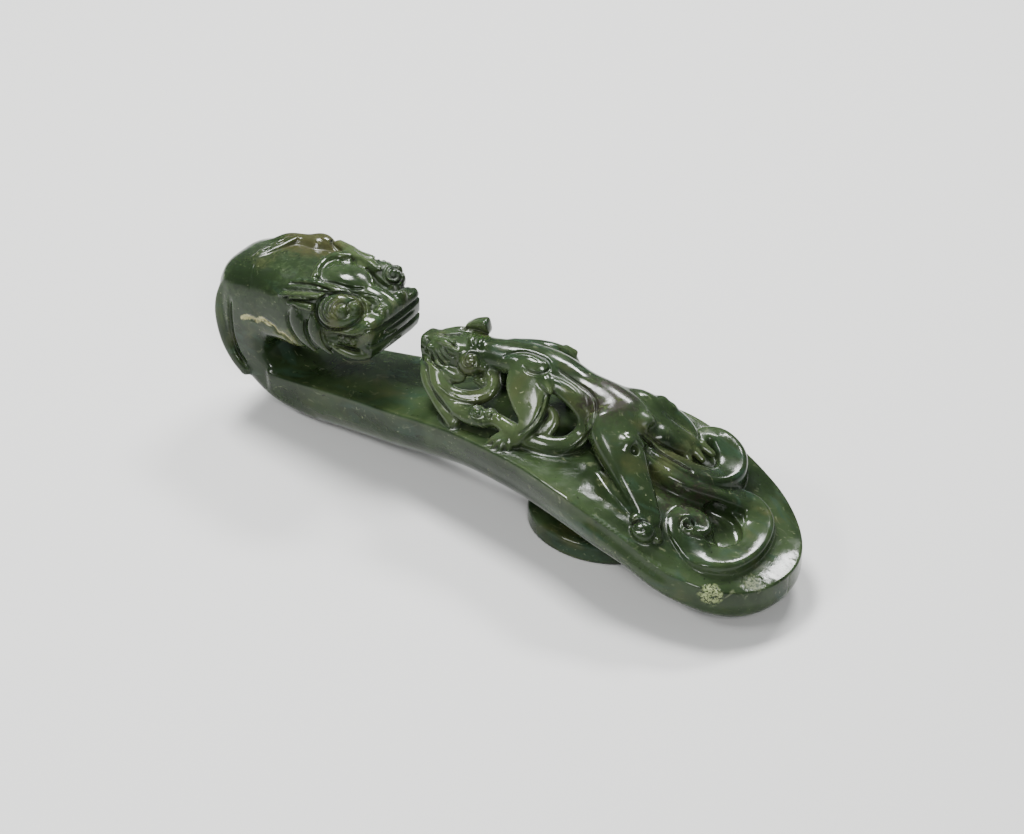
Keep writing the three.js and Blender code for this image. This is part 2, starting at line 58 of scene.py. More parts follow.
BAND = 6  # cells of true distance kept on each side of the surface
FACES = 180000  # triangles of the finished mesh
SLIVER = 0.01  # edges shorter than this are closed up
LINE_STEP = 0.35  # an engraved line of few points is smoothed, with a point about this often
DENSE_LINE = 12  # a line with this many points is used as it is
LINE_DEPTH = 4.5  # cells from the surface that engraving changes
THIN_PROBE = 2.0  # how far below the surface the jade's thickness is felt
THIN_RANGE = 1.15  # jade thicker than the probe by this much lets no light through
CREASE_PROBE = 0.6  # how far above the surface a crease is felt
FISSURE_REACH = 1.0  # the fissure's colour fades out this far from it

# The photograph's camera
CAMERA_AZIMUTH = math.radians(36)
CAMERA_ELEVATION = math.radians(35.5)
CAMERA_DISTANCE = 0.6
CAMERA_TARGET = Vector((-0.01715, 0.00065, 0.01487))
CAMERA_LENS = 128.67
CAMERA_SENSOR = 36

VIEW = np.array([
    math.sin(CAMERA_AZIMUTH) * math.cos(CAMERA_ELEVATION),
    -math.cos(CAMERA_AZIMUTH) * math.cos(CAMERA_ELEVATION),
    math.sin(CAMERA_ELEVATION),
])  # from the hook towards the camera: most near-side lines are engraved from here
X = np.array([1.0, 0.0, 0.0])
Y = np.array([0.0, 1.0, 0.0])
Z = np.array([0.0, 0.0, 1.0])
NEAR_FLANK = np.array([0.0, -0.75, 0.66])  # outward from the chilong's near flank

# Shaft, in millimetres
PADDLE_REACH = 37.4
NECK_REACH = 74.6
PADDLE_WIDTH = 32.2
PADDLE_ROUND = 19.2
BELT_WIDTH = 24.4
WAIST_WIDTH = 18.4
NECK_WIDTH = 15.2
CREST_HEIGHT = 17.7
TIP_HEIGHT = 7.6
WAIST_HEIGHT = 13.0
THROAT_FLOOR = 9.9
CREST_DEPTH = 9.5
TIP_DEPTH = 6.7
WAIST_DEPTH = 11.0
TOP_CROWN = 0.5

# Button
BUTTON_LENGTH = 23.8
BUTTON_WIDTH = 17.9
BUTTON_THICKNESS = 3.6
BUTTON_ROUND = 0.7
STEM_LENGTH = 11.0
STEM_WIDTH = 9.0

# Dragon
SNOUT_WIDTH = 13.6
SNOUT_HEIGHT = 7.2
SNOUT_REACH = 39.7
SNOUT_FLOOR = 20.9

# Chilong
RELIEF_SINK = 1.5  # how far a relief form goes down into the shaft


# Curves and closed meshes

def unit(vectors):
    vectors = np.asarray(vectors, float)
    return vectors / np.maximum(np.linalg.norm(vectors, axis=-1, keepdims=True), 1e-9)


def facing(view):
    """Two directions at right angles to a view: to its right, and upward."""
    across = np.cross(Z, view)
    return unit(across), unit(np.cross(view, across))


def signed_power(value, power):
    return np.sign(value) * np.abs(value) ** power


def curve_through(*rows):
    """A smooth function through (position, value) rows that never overshoots them."""
    xs, ys = np.array(rows, float).T
    rise = np.diff(ys) / np.diff(xs)
    slopes = np.zeros(len(xs))
    for i in range(1, len(xs) - 1):
        before, after = rise[i - 1], rise[i]
        if before * after > 0:
            slopes[i] = 2 * before * after / (before + after)

    def value(x):
        x = np.clip(x, xs[0], xs[-1])
        i = np.clip(np.searchsorted(xs, x, side="right") - 1, 0, len(xs) - 2)
        span = xs[i + 1] - xs[i]
        t = (x - xs[i]) / span
        ends = (1 + 2 * t) * (1 - t) ** 2 * ys[i] + t * t * (3 - 2 * t) * ys[i + 1]
        return ends + span * t * (1 - t) * ((1 - t) * slopes[i] - t * slopes[i + 1])

    return value


def smooth_path(rows, spacing):
    """A Catmull-Rom curve through the rows, with a point about every `spacing` millimetres."""
    rows = np.array(rows, float)
    padded = np.vstack([2 * rows[0] - rows[1], rows, 2 * rows[-1] - rows[-2]])
    points = []
    for a, b, c, d in zip(padded, padded[1:], padded[2:], padded[3:]):
        count = max(2, math.ceil(np.linalg.norm((c - b)[:3]) / spacing))
        t = (np.arange(count) / count)[:, None]
        points.append(0.5 * (2 * b + (c - a) * t + (2 * a - 5 * b + 4 * c - d) * t ** 2
                             + (3 * b - a - 3 * c + d) * t ** 3))
    return np.vstack([*points, rows[-1:]])


def skin(rings, start, end):
    """Closes rings of points (rings x sides x 3) into a mesh, with one point at each end."""
    count, sides = rings.shape[:2]
    grid = np.meshgrid(np.arange(count - 1), np.arange(sides), indexing="ij")
    ring, side = (part.ravel() for part in grid)
    a = ring * sides + side
    b = ring * sides + (side + 1) % sides
    quads = np.stack([a, b, b + sides, a + sides], 1)
    side = np.arange(sides)
    beside = (side + 1) % sides
    last = (count - 1) * sides
    first_hub = np.full(sides, count * sides)
    triangles = np.vstack([
        np.stack([first_hub, beside, side], 1),
        np.stack([first_hub + 1, side + last, beside + last], 1),
    ])
    return np.vstack([rings.reshape(-1, 3), start, end]), triangles, quads


def strand(rows, up=Z, side=None, sides=22, power=2.0, blunt=0.8, spacing=0.6):
    """A strand of jade along a smooth path. Each row is x, y, z, half width, half height.

    The section is a superellipse of the given power and the ends are rounded. Its height points
    along `up`, or, where `side` is given, its width points along `side`.
    """
    path = smooth_path(rows, spacing)
    centre = path[:, :3]
    half = np.maximum(path[:, 3:5], 0.06)
    tangent = unit(np.gradient(centre, axis=0))
    across = unit(np.cross(up, tangent)) if side is None else np.broadcast_to(side, centre.shape)
    lift = unit(np.cross(tangent, across))
    angle = 2 * np.pi * (np.arange(sides) + 0.5) / sides
    wide = signed_power(np.cos(angle), 2 / power)[:, None]
    high = signed_power(np.sin(angle), 2 / power)[:, None]
    tip = blunt * half.min(axis=1)

    def ring(i, push, scale):
        section = wide * across[i] * half[i, 0] + high * lift[i] * half[i, 1]
        return centre[i] + push * tangent[i] + scale * section

    caps = np.radians([14, 36, 62])
    rings = [ring(0, -tip[0] * math.cos(a), math.sin(a)) for a in caps]
    rings += [ring(i, 0, 1) for i in range(len(path))]
    rings += [ring(-1, tip[-1] * math.cos(a), math.sin(a)) for a in caps[::-1]]
    return skin(np.array(rings), centre[0] - tip[0] * tangent[0], centre[-1] + tip[-1] * tangent[-1])


def lump(centre, size, up=Z, along=X, power=2.0):
    """A rounded lump with half sizes along `along`, across it and along `up`."""
    up = unit(up)
    along = unit(along - np.dot(along, up) * up)
    across = np.cross(up, along)
    tilt = np.radians(np.linspace(-80, 80, 11))
    turn = 2 * np.pi * np.arange(24) / 24
    wide = signed_power(np.cos(tilt), 2 / power)
    rings = (wide[:, None, None] * (signed_power(np.cos(turn), 2 / power)[:, None] * size[0] * along
                                    + signed_power(np.sin(turn), 2 / power)[:, None] * size[1] * across)
             + signed_power(np.sin(tilt), 2 / power)[:, None, None] * size[2] * up)
    centre = np.array(centre, float)
    return skin(centre + rings, centre - size[2] * up, centre + size[2] * up)


def spiral(centre, across, lift, outer, inner, turns, start=0.0):
    """Points of a flat spiral, from its outer end inwards. `start` is a share of a turn."""
    share = np.linspace(0, 1, max(6, round(14 * turns)))
    angle = 2 * np.pi * (start + turns * share)
    radius = outer + (inner - outer) * share
    right, up = (radius * np.cos(angle))[:, None], (radius * np.sin(angle))[:, None]
    return np.array(centre) + right * across + up * lift


def keep_largest_shell(data):
    """Takes slivers, and every shell but the largest, out of a mesh in millimetres."""
    shape = bmesh.new()
    shape.from_mesh(data)
    bmesh.ops.dissolve_degenerate(shape, dist=SLIVER, edges=shape.edges)
    left = set(shape.verts)
    shells = []
    for first in shape.verts:
        if first not in left:
            continue
        left.remove(first)
        shell, reached = [], [first]
        while reached:
            vert = reached.pop()
            shell.append(vert)
            for edge in vert.link_edges:
                other = edge.other_vert(vert)
                if other in left:
                    left.remove(other)
                    reached.append(other)
        shells.append(shell)
    shells.sort(key=len)
    bmesh.ops.delete(shape, geom=[vert for shell in shells[:-1] for vert in shell], context="VERTS")
    bmesh.ops.triangulate(shape, faces=shape.faces)
    shape.to_mesh(data)
    shape.free()


# The distance field that the hook is modelled in

class Clay:
    def __init__(self, low, high, cell):
        self.cell = cell
        margin = (BAND + 3) * cell
        self.low = np.array(low) - margin
        self.shape = np.ceil((np.array(high) + margin - self.low) / cell).astype(int)
        self.field = np.full(self.shape, BAND * cell, np.float32)

    def window(self, low, high, margin):
        first = np.floor((low - self.low) / self.cell).astype(int) - margin
        last = np.ceil((high - self.low) / self.cell).astype(int) + margin + 1
        return np.clip(first, 0, self.shape), np.clip(last, 0, self.shape)

    def distance(self, mesh):
        """The part of the field that a closed mesh reaches, and the signed distance to the mesh there."""
        points, triangles, quads = mesh
        first, last = self.window(points.min(0), points.max(0), BAND + 2)
        cells = ((points - self.low) / self.cell - first).astype(np.float32)
        grid = openvdb.FloatGrid.createLevelSetFromPolygons(
            cells, triangles=triangles.astype(np.uint32), quads=quads.astype(np.uint32),
            transform=openvdb.createLinearTransform(1.0), halfWidth=float(BAND))
        local = np.full(last - first, BAND, np.float32)
        grid.copyToArray(local)
        return tuple(slice(a, b) for a, b in zip(first, last)), local * self.cell

    def add(self, mesh, blend=0.5):
        """Joins a form, with a fillet of about the blend's size."""
        where, other = self.distance(mesh)
        mine = self.field[where]
        share = np.clip(0.5 + 0.5 * (mine - other) / blend, 0, 1)
        self.field[where] = mine + (other - mine) * share - blend * share * (1 - share)

    def cut(self, mesh, blend=0.3):
        """Takes a form away, with an edge rounded by about the blend's size."""
        where, other = self.distance(mesh)
        mine = self.field[where]
        share = np.clip(0.5 - 0.5 * (mine + other) / blend, 0, 1)
        self.field[where] = mine + (-other - mine) * share + blend * share * (1 - share)

    def engrave(self, points, width, depth, along=VIEW, reach=1.6, taper=True):
        """Cuts a line of this width and depth into the surface, or raises it where depth is below 0.

        The line is drawn on the surface by looking at it against `along`, and only the surface
        within `reach` of the points is touched.
        """
        along = unit(along)
        path = smooth_path(points, LINE_STEP) if len(points) < DENSE_LINE else np.array(points)
        first, last = self.window(path.min(0) - reach, path.max(0) + reach, 1)
        where = tuple(slice(a, b) for a, b in zip(first, last))
        near = np.abs(self.field[where]) < LINE_DEPTH * self.cell
        cells = np.argwhere(near)
        place = self.low + (cells + first) * self.cell
        across = unit(np.cross(along, Z if abs(along[2]) < 0.9 else X))
        basis = np.stack([across, np.cross(along, across)], 1)
        start, step = path[:-1], np.diff(path, axis=0)
        flat_step = step @ basis
        gap = (place @ basis)[:, None] - (start @ basis)[None]
        share = np.clip((gap * flat_step).sum(2) / np.maximum((flat_step ** 2).sum(1), 1e-9), 0, 1)
        off = np.linalg.norm(gap - share[..., None] * flat_step, axis=2)
        best = off.argmin(1)
        row = np.arange(len(place))
        share, off = share[row, best], off[row, best]
        nearest = start[best] + share[:, None] * step[best]
        above = np.abs((place - nearest) @ along)
        run = np.concatenate([[0], np.cumsum(np.linalg.norm(step, axis=1))])
        along_path = run[best] + share * (run[best + 1] - run[best])
        strength = np.clip(1 - (2 * off / width) ** 2, 0, 1) ** 1.5
        strength *= np.clip(2 - 2 * above / reach, 0, 1)
        if taper:
            ends = np.minimum(along_path, run[-1] - along_path)
            strength *= np.clip(0.15 + ends / min(1.2 * width + 0.4, 0.3 * run[-1] + 0.01), 0, 1)
        local = self.field[where]
        local[near] += (depth * strength).astype(np.float32)

    def polish(self):
        """Softens the surface a little, as polishing does."""
        for axis in range(3):
            inner = [slice(None)] * 3
            before, after = list(inner), list(inner)
            inner[axis], before[axis], after[axis] = slice(1, -1), slice(0, -2), slice(2, None)
            beside = self.field[tuple(before)] + self.field[tuple(after)]
            self.field[tuple(inner)] = 0.5 * self.field[tuple(inner)] + 0.25 * beside

    def sample(self, values, points):
        """Values of a field-shaped array at points in millimetres, by trilinear interpolation."""
        place = np.clip((points - self.low) / self.cell, 0, np.array(values.shape) - 1.001)
        base = place.astype(int)
        part = place - base
        total = 0
        for corner in np.ndindex(2, 2, 2):
            weight = np.prod(np.where(corner, part, 1 - part), axis=1)
            total = total + weight * values[tuple((base + corner).T)]
        return total

    def slope(self, points):
        """Outward normals at points on the surface."""
        step = 0.75 * self.cell
        return unit(np.stack([
            self.sample(self.field, points + step * axis) - self.sample(self.field, points - step * axis)
            for axis in (X, Y, Z)
        ], 1))

    def mesh(self, name, faces):
        """The surface as a Blender mesh with about this many triangles, in millimetres."""
        grid = openvdb.FloatGrid(BAND * self.cell)
        grid.copyFromArray(self.field)
        grid.gridClass = openvdb.GridClass.LEVEL_SET
        points, triangles, quads = grid.convertToPolygons(isovalue=0.0, adaptivity=0.0)
        triangles, quads = triangles[:, ::-1], quads[:, ::-1]  # faces outward
        points = self.low + points * self.cell
        data = bpy.data.meshes.new(name)
        data.from_pydata(points, [], [*triangles.tolist(), *quads.tolist()])
        made = bpy.data.objects.new(name, data)
        bpy.context.scene.collection.objects.link(made)
        corners = 2 * len(quads) + len(triangles)
        if corners > faces:
            thin = made.modifiers.new("thin", "DECIMATE")
            thin.ratio = faces / corners
            thin.use_collapse_triangulate = True
            depsgraph = bpy.context.evaluated_depsgraph_get()
            thinned = bpy.data.meshes.new_from_object(made.evaluated_get(depsgraph))
            made.modifiers.clear()
            made.data = thinned
            made.data.validate()
        keep_largest_shell(made.data)
        return made


# The shaft and its button

PADDLE_START = PADDLE_REACH - PADDLE_ROUND
half_width_at = curve_through(
    (-NECK_REACH, NECK_WIDTH / 2),
    (-0.75 * NECK_REACH, NECK_WIDTH / 2),
    (-0.45 * NECK_REACH, WAIST_WIDTH / 2),
    (-0.12 * NECK_REACH, BELT_WIDTH / 2),
    (0.6 * PADDLE_START, PADDLE_WIDTH / 2),
)
top_height_at = curve_through(
    (-NECK_REACH, THROAT_FLOOR - 0.2),
    (-0.84 * NECK_REACH, THROAT_FLOOR),
    (-0.54 * NECK_REACH, WAIST_HEIGHT),
    (-0.24 * NECK_REACH, 0.945 * CREST_HEIGHT),
    (0.09 * PADDLE_REACH, CREST_HEIGHT),
    (0.38 * PADDLE_REACH, 0.885 * CREST_HEIGHT),
    (0.66 * PADDLE_REACH, TIP_HEIGHT + 0.37 * (CREST_HEIGHT - TIP_HEIGHT)),
    (PADDLE_REACH, TIP_HEIGHT),
)
REST_STATION = -0.72 * NECK_REACH  # the belly touches the ground here
depth_at = curve_through(
    (-0.86 * NECK_REACH, 0.66 * top_height_at(REST_STATION)),
    (-0.8 * NECK_REACH, 0.88 * top_height_at(REST_STATION)),
    (REST_STATION, top_height_at(REST_STATION)),
    (-0.5 * NECK_REACH, WAIST_DEPTH),
    (0.05 * PADDLE_REACH, CREST_DEPTH),
    (PADDLE_REACH, TIP_DEPTH),
)
belly_power_at = curve_through(
    (-NECK_REACH, 2), (-0.3 * NECK_REACH, 2.3), (0.2 * PADDLE_REACH, 4), (PADDLE_REACH, 5),
)


def shaft():
    top = np.linspace(1, -1, 15)[:-1]
    around = np.pi * np.arange(32) / 32

    def section(x, width, roundness):
        high, depth, power = top_height_at(x), depth_at(x), belly_power_at(x)
        crown = TOP_CROWN * (1 - top ** 2) * width / half_width_at(x)
        face = np.stack([np.full(len(top), x), top * width, high + crown], 1)
        across = signed_power(np.cos(around), 2 / power)
        inset = np.minimum((1 - np.abs(across)) * half_width_at(x) * roundness, depth)
        belly = np.stack([
            x - inset * roundness, -across * width, high - depth * np.sin(around) ** (2 / power)], 1)
        return np.vstack([face, belly])

    neck_end = -0.835 * NECK_REACH
    rings = [section(x, half_width_at(x), 0) for x in np.linspace(neck_end, PADDLE_START, 110)]
    for angle in np.radians(np.linspace(2.5, 89.5, 36)):
        width = half_width_at(PADDLE_START) * math.cos(angle)
        rings.append(section(PADDLE_START + PADDLE_ROUND * math.sin(angle), width, math.sin(angle) ** 2))
    rings = np.array(rings)
    return skin(rings, rings[0].mean(0), rings[-1].mean(0))


def oval(length, width, z, sides=72):
    angle = 2 * np.pi * np.arange(sides) / sides
    return np.stack([0.5 * length * np.cos(angle), 0.5 * width * np.sin(angle), np.full(sides, z)], 1)


def button():
    rings = []
    for angle in np.radians(np.linspace(0, 90, 6)):
        inset = 2 * BUTTON_ROUND * (1 - math.sin(angle))
        rings.append(oval(BUTTON_LENGTH - inset, BUTTON_WIDTH - inset,
                          BUTTON_ROUND * (1 - math.cos(angle))))
    rings += [ring * [1, 1, -1] + [0, 0, BUTTON_THICKNESS] for ring in rings[::-1]]
    rings = np.array(rings)
    return skin(rings, rings[0].mean(0), rings[-1].mean(0))


def stem():
    heights = np.linspace(0.5 * BUTTON_THICKNESS, CREST_HEIGHT - 0.5 * CREST_DEPTH, 8)
    rings = np.array([oval(STEM_LENGTH, STEM_WIDTH, z) for z in heights])
    return skin(rings, rings[0].mean(0), rings[-1].mean(0))


# The neck rises from the shaft's narrow end and rolls over into the head. Each row is one slice
# between the throat and the outer side: throat x, throat z, outer x, outer z, half width, and how
# square the throat's half is.
NECK_SLICES = (
    (-54.0, 8.4, -54.5, 1.6, 5.6, 8),
    (-58.8, 9.8, -61.6, 2.2, 6.6, 8),
    (-61.4, 10.9, -66.6, 5.0, 7.2, 8),
    (-62.8, 12.4, -71.2, 9.6, 7.5, 8),
    (-63.2, 13.6, -73.8, 14.6, 7.6, 7),
    (-62.7, 14.9, -74.6, 20.4, 7.8, 5),
    (-61.2, 15.7, -73.4, 26.4, 8.0, 4),
    (-58.6, 16.2, -67.4, 29.0, 8.1, 4),
    (-55.8, 16.5, -60.0, 30.0, 8.3, 4),
    (-52.2, 17.6, -53.4, 30.0, 8.3, 4),
    (-48.4, 19.2, -48.4, 29.2, 7.7, 4),
    (-44.8, 20.4, -44.8, 27.8, 6.6, 4),
    (-42.6, 21.4, -42.6, 26.8, 6.0, 4),
)


def neck_and_head():
    angle = 2 * np.pi * (np.arange(48) + 0.5) / 48
    rings = []
    for low_x, low_z, high_x, high_z, width, throat_power in smooth_path(NECK_SLICES, 0.8):
        low, high = np.array([low_x, 0, low_z]), np.array([high_x, 0, high_z])
        power = np.where(np.sin(angle) < 0, throat_power, 3.0)
        lift = signed_power(np.sin(angle), 2 / power)[:, None] * (high - low) / 2
        rings.append((low + high) / 2 + lift + signed_power(np.cos(angle), 2 / power)[:, None] * width * Y)
    rings = np.array(rings)
    return skin(rings, rings[0].mean(0), rings[-1].mean(0))


def mirrored(rows, side):
    """Rows drawn for the near side, moved to the far side where side is 1."""
    rows = np.array(rows, float)
    rows[:, 1] *= -side
    return rows


def snout(clay):
    half = SNOUT_WIDTH / 2
    middle = SNOUT_FLOOR + SNOUT_HEIGHT / 2
    clay.add(strand([
        (-SNOUT_REACH - 8.0, 0, middle, half + 0.9, SNOUT_HEIGHT / 2 - 0.4),
        (-SNOUT_REACH - 3.5, 0, middle, half + 0.3, SNOUT_HEIGHT / 2),
        (-SNOUT_REACH - 0.9, 0, middle, half, SNOUT_HEIGHT / 2),
    ], power=5.5, sides=40, blunt=0.3), 0.6)


# The dragon's head. Rows are x, y, z and, for strands, half width and half height. What both sides
# have is drawn for the near side.

FOREHEAD_LOOP = [(-54.6, -3.2, 29.8, 0.7, 0.7), (-55.9, -1.0, 29.9, 0.7, 0.8), (-56.3, 1.6, 29.9, 0.7, 0.8),
                 (-55.4, 3.9, 29.9, 0.8, 0.9), (-53.0, 5.0, 29.8, 0.8, 0.9), (-50.8, 4.4, 29.8, 0.6, 0.7)]
PEARLS = ((-45.8, -7.5, 28.9), (-44.3, -5.9, 29.2))
MANE_LOCK = [(-68.0, -3.2, 28.2, 0.5, 0.5), (-67.2, -1.6, 28.9, 1.0, 0.6), (-66.2, 0.8, 29.3, 1.1, 0.6),
             (-65.2, 2.9, 29.7, 1.0, 0.6), (-64.2, 4.2, 30.1, 0.6, 0.5)]
FAR_BROW = [(-58.0, 6.9, 29.7, 0.9, 1.0), (-54.6, 6.4, 29.7, 1.4, 1.0), (-50.8, 5.8, 29.8, 1.7, 1.1),
            (-47.6, 5.5, 29.7, 1.8, 1.1), (-45.4, 5.6, 29.2, 1.6, 1.1)]
NEAR_BROWS = (
    [(-57.6, -5.5, 28.9, 0.35, 0.3), (-55.6, -4.9, 29.5, 0.8, 0.5), (-52.4, -4.3, 29.9, 1.0, 0.55),
     (-48.6, -4.3, 30.0, 0.9, 0.6), (-45.0, -4.0, 29.5, 0.8, 0.7), (-43.2, -3.4, 28.8, 0.5, 0.6)],
    [(-58.7, -8.0, 27.4, 0.35, 0.3), (-56.4, -7.8, 28.2, 0.9, 0.5), (-53.4, -7.1, 28.9, 1.1, 0.55),
     (-50.6, -6.4, 29.4, 0.8, 0.6)],
)
DRAGON_STRANDS = (
    # hair behind the eye
    [(-56.6, -8.5, 26.9, 0.3, 0.4), (-54.6, -8.3, 27.2, 0.6, 0.6), (-51.8, -8.0, 27.5, 0.7, 0.6)],
    # upper lip's side, and the lower lip
    [(-49.4, -7.9, 24.6, 0.5, 0.5), (-47.0, -7.8, 24.9, 0.65, 0.6), (-44.2, -7.5, 25.2, 0.7, 0.6),
     (-42.3, -7.0, 26.0, 0.65, 0.7), (-41.3, -6.3, 27.3, 0.5, 0.6)],
    [(-48.6, -7.4, 21.4, 0.5, 0.5), (-46.0, -7.5, 21.1, 0.75, 0.7), (-43.2, -7.1, 20.9, 0.8, 0.75),
     (-41.2, -6.0, 21.3, 0.7, 0.7)],
)
CHEEK_LOBES = (
    [(-55.0, -8.0, 26.4, 0.6, 0.9), (-54.7, -8.1, 23.8, 0.85, 1.75), (-53.5, -8.0, 21.2, 0.8, 1.55),
     (-51.6, -7.5, 19.0, 0.45, 0.7)],
    [(-51.2, -8.0, 26.0, 0.6, 0.9), (-50.9, -8.2, 23.6, 0.85, 1.55), (-49.8, -8.0, 21.3, 0.75, 1.3),
     (-48.2, -7.5, 19.6, 0.4, 0.6)],
)
MANE_RIM = [
    (-69.0, -6.0, 26.0, 0.2, 0.25), (-71.2, -6.4, 24.4, 0.45, 0.5), (-72.4, -6.8, 21.8, 0.7, 0.75),
    (-72.5, -7.1, 18.0, 0.9, 0.95), (-71.5, -7.1, 13.4, 0.95, 1.0),
    (-69.5, -7.1, 10.2, 1.0, 1.0), (-67.2, -7.0, 8.4, 1.15, 1.15),
]
MANE_RIDGE = [(-69.6, 3.0, 27.2, 0.7, 0.8), (-66.6, 4.1, 28.8, 1.3, 1.2), (-63.0, 5.0, 29.2, 1.6, 1.4),
              (-60.2, 5.7, 29.5, 2.1, 1.7), (-57.6, 5.9, 29.0, 0.9, 0.9)]
FISSURE = np.array([(-67.2, -7.9, 19.4), (-65.6, -7.9, 20.3), (-63.8, -8.0, 20.2), (-62.6, -8.0, 21.1),
                    (-61.2, -8.0, 20.7), (-60.0, -8.1, 20.6), (-59.2, -8.1, 19.7), (-58.0, -8.1, 19.9),
                    (-56.8, -8.1, 19.2), (-56.0, -8.1, 18.2), (-55.0, -8.0, 17.6), (-54.3, -7.6, 16.6)])


def pearls(side):
    """The pearls in the eye: two on the near side, one on the far side."""
    return [np.array(place) * [1, -side, 1] for place in PEARLS[:2 if side < 0 else 1]]


def dragon_forms(clay):
    clay.add(lump((-50.4, 0.3, 29.2), (4.6, 3.5, 2.0), Z), 0.5)
    clay.add(strand([(-46.8, 0, 28.6, 1.7, 1.3), (-43.6, 0, 28.3, 1.8, 1.4), (-41.2, 0, 27.7, 1.9, 1.2)]),
             0.6)
    clay.add(strand(FOREHEAD_LOOP, power=2.6), 0.3)
    for side in (-1, 1):
        outward = np.array([0.3, 0.72 * side, 0.62])
        clay.add(lump((-46.9, 6.3 * side, 27.8), (4.1, 3.3, 2.3), outward, (1, 0, 0.3)), 0.35)
        for rows in DRAGON_STRANDS + (NEAR_BROWS if side < 0 else ()):
            clay.add(strand(mirrored(rows, side)), 0.35)
        for rows in CHEEK_LOBES:
            clay.add(strand(mirrored(rows, side), up=X, power=2.4, sides=28), 0.3)
        clay.cut(strand(mirrored([(-48.6, -8.6, 22.9, 1.2, 0.5), (-45.6, -8.0, 23.5, 1.1, 0.9),
                                  (-42.4, -7.6, 24.0, 0.7, 0.6)], side)), 0.3)
        for x, z in ((-46.4, 23.1), (-45.0, 23.3), (-43.7, 23.5)):
            clay.add(lump((x, 7.1 * side, z), (0.62, 0.8, 0.72)), 0.15)
        clay.add(strand(mirrored(MANE_RIM, side), side=Y, power=2.8), 0.6)
        for pearl in pearls(side):
            clay.add(lump(pearl, (1.0, 1.0, 1.0)), 0.12)
        clay.add(lump((-41.5, 2.6 * side, 28.0), (1.3, 1.2, 1.2)), 0.35)
        clay.add(lump((-43.6, 3.9 * side, 28.1), (1.0, 0.9, 1.0)), 0.35)
    clay.add(strand(MANE_RIDGE, power=2.4), 0.7)
    clay.add(strand(MANE_LOCK, power=4, blunt=0.3), 0.2)
    clay.add(lump((-44.7, 5.2, 29.2), (2.1, 1.9, 1.5), (0.2, 0.1, 1.0)), 0.3)
    clay.add(strand(FAR_BROW, power=3.2, blunt=0.3, up=(0.0, 0.3, 1.0), sides=30), 0.3)


# Lines engraved on the head: the points of the eye's rim, then rows of width, depth (raised where
# below 0), reach and points.

EYE_RIM = [(-50.9, -7.9, 27.4), (-50.7, -7.3, 29.0), (-49.4, -6.2, 30.1), (-47.4, -5.0, 30.5),
           (-44.9, -4.3, 30.2), (-42.9, -5.2, 29.1), (-43.0, -6.8, 27.7), (-45.2, -8.0, 26.0),
           (-48.0, -8.4, 25.1), (-50.2, -8.3, 25.9), (-50.9, -7.9, 27.4)]
EYE_LINES = (
    (0.55, 0.36, 1.6, [(-47.9, -6.3, 30.6), (-49.4, -7.1, 29.5), (-49.6, -8.0, 28.0), (-48.6, -8.4, 26.7),
        (-47.2, -8.5, 26.6)]),
    (0.5, 0.36, 1.6, [(-47.6, -6.5, 30.5), (-48.6, -7.2, 29.4), (-48.6, -8.1, 28.2),
        (-47.5, -8.5, 27.4)]),
    (0.5, 0.32, 1.6, [(-47.1, -6.7, 30.3), (-47.7, -7.4, 29.4), (-47.5, -8.2, 28.5),
        (-46.6, -8.4, 28.1)]),
)
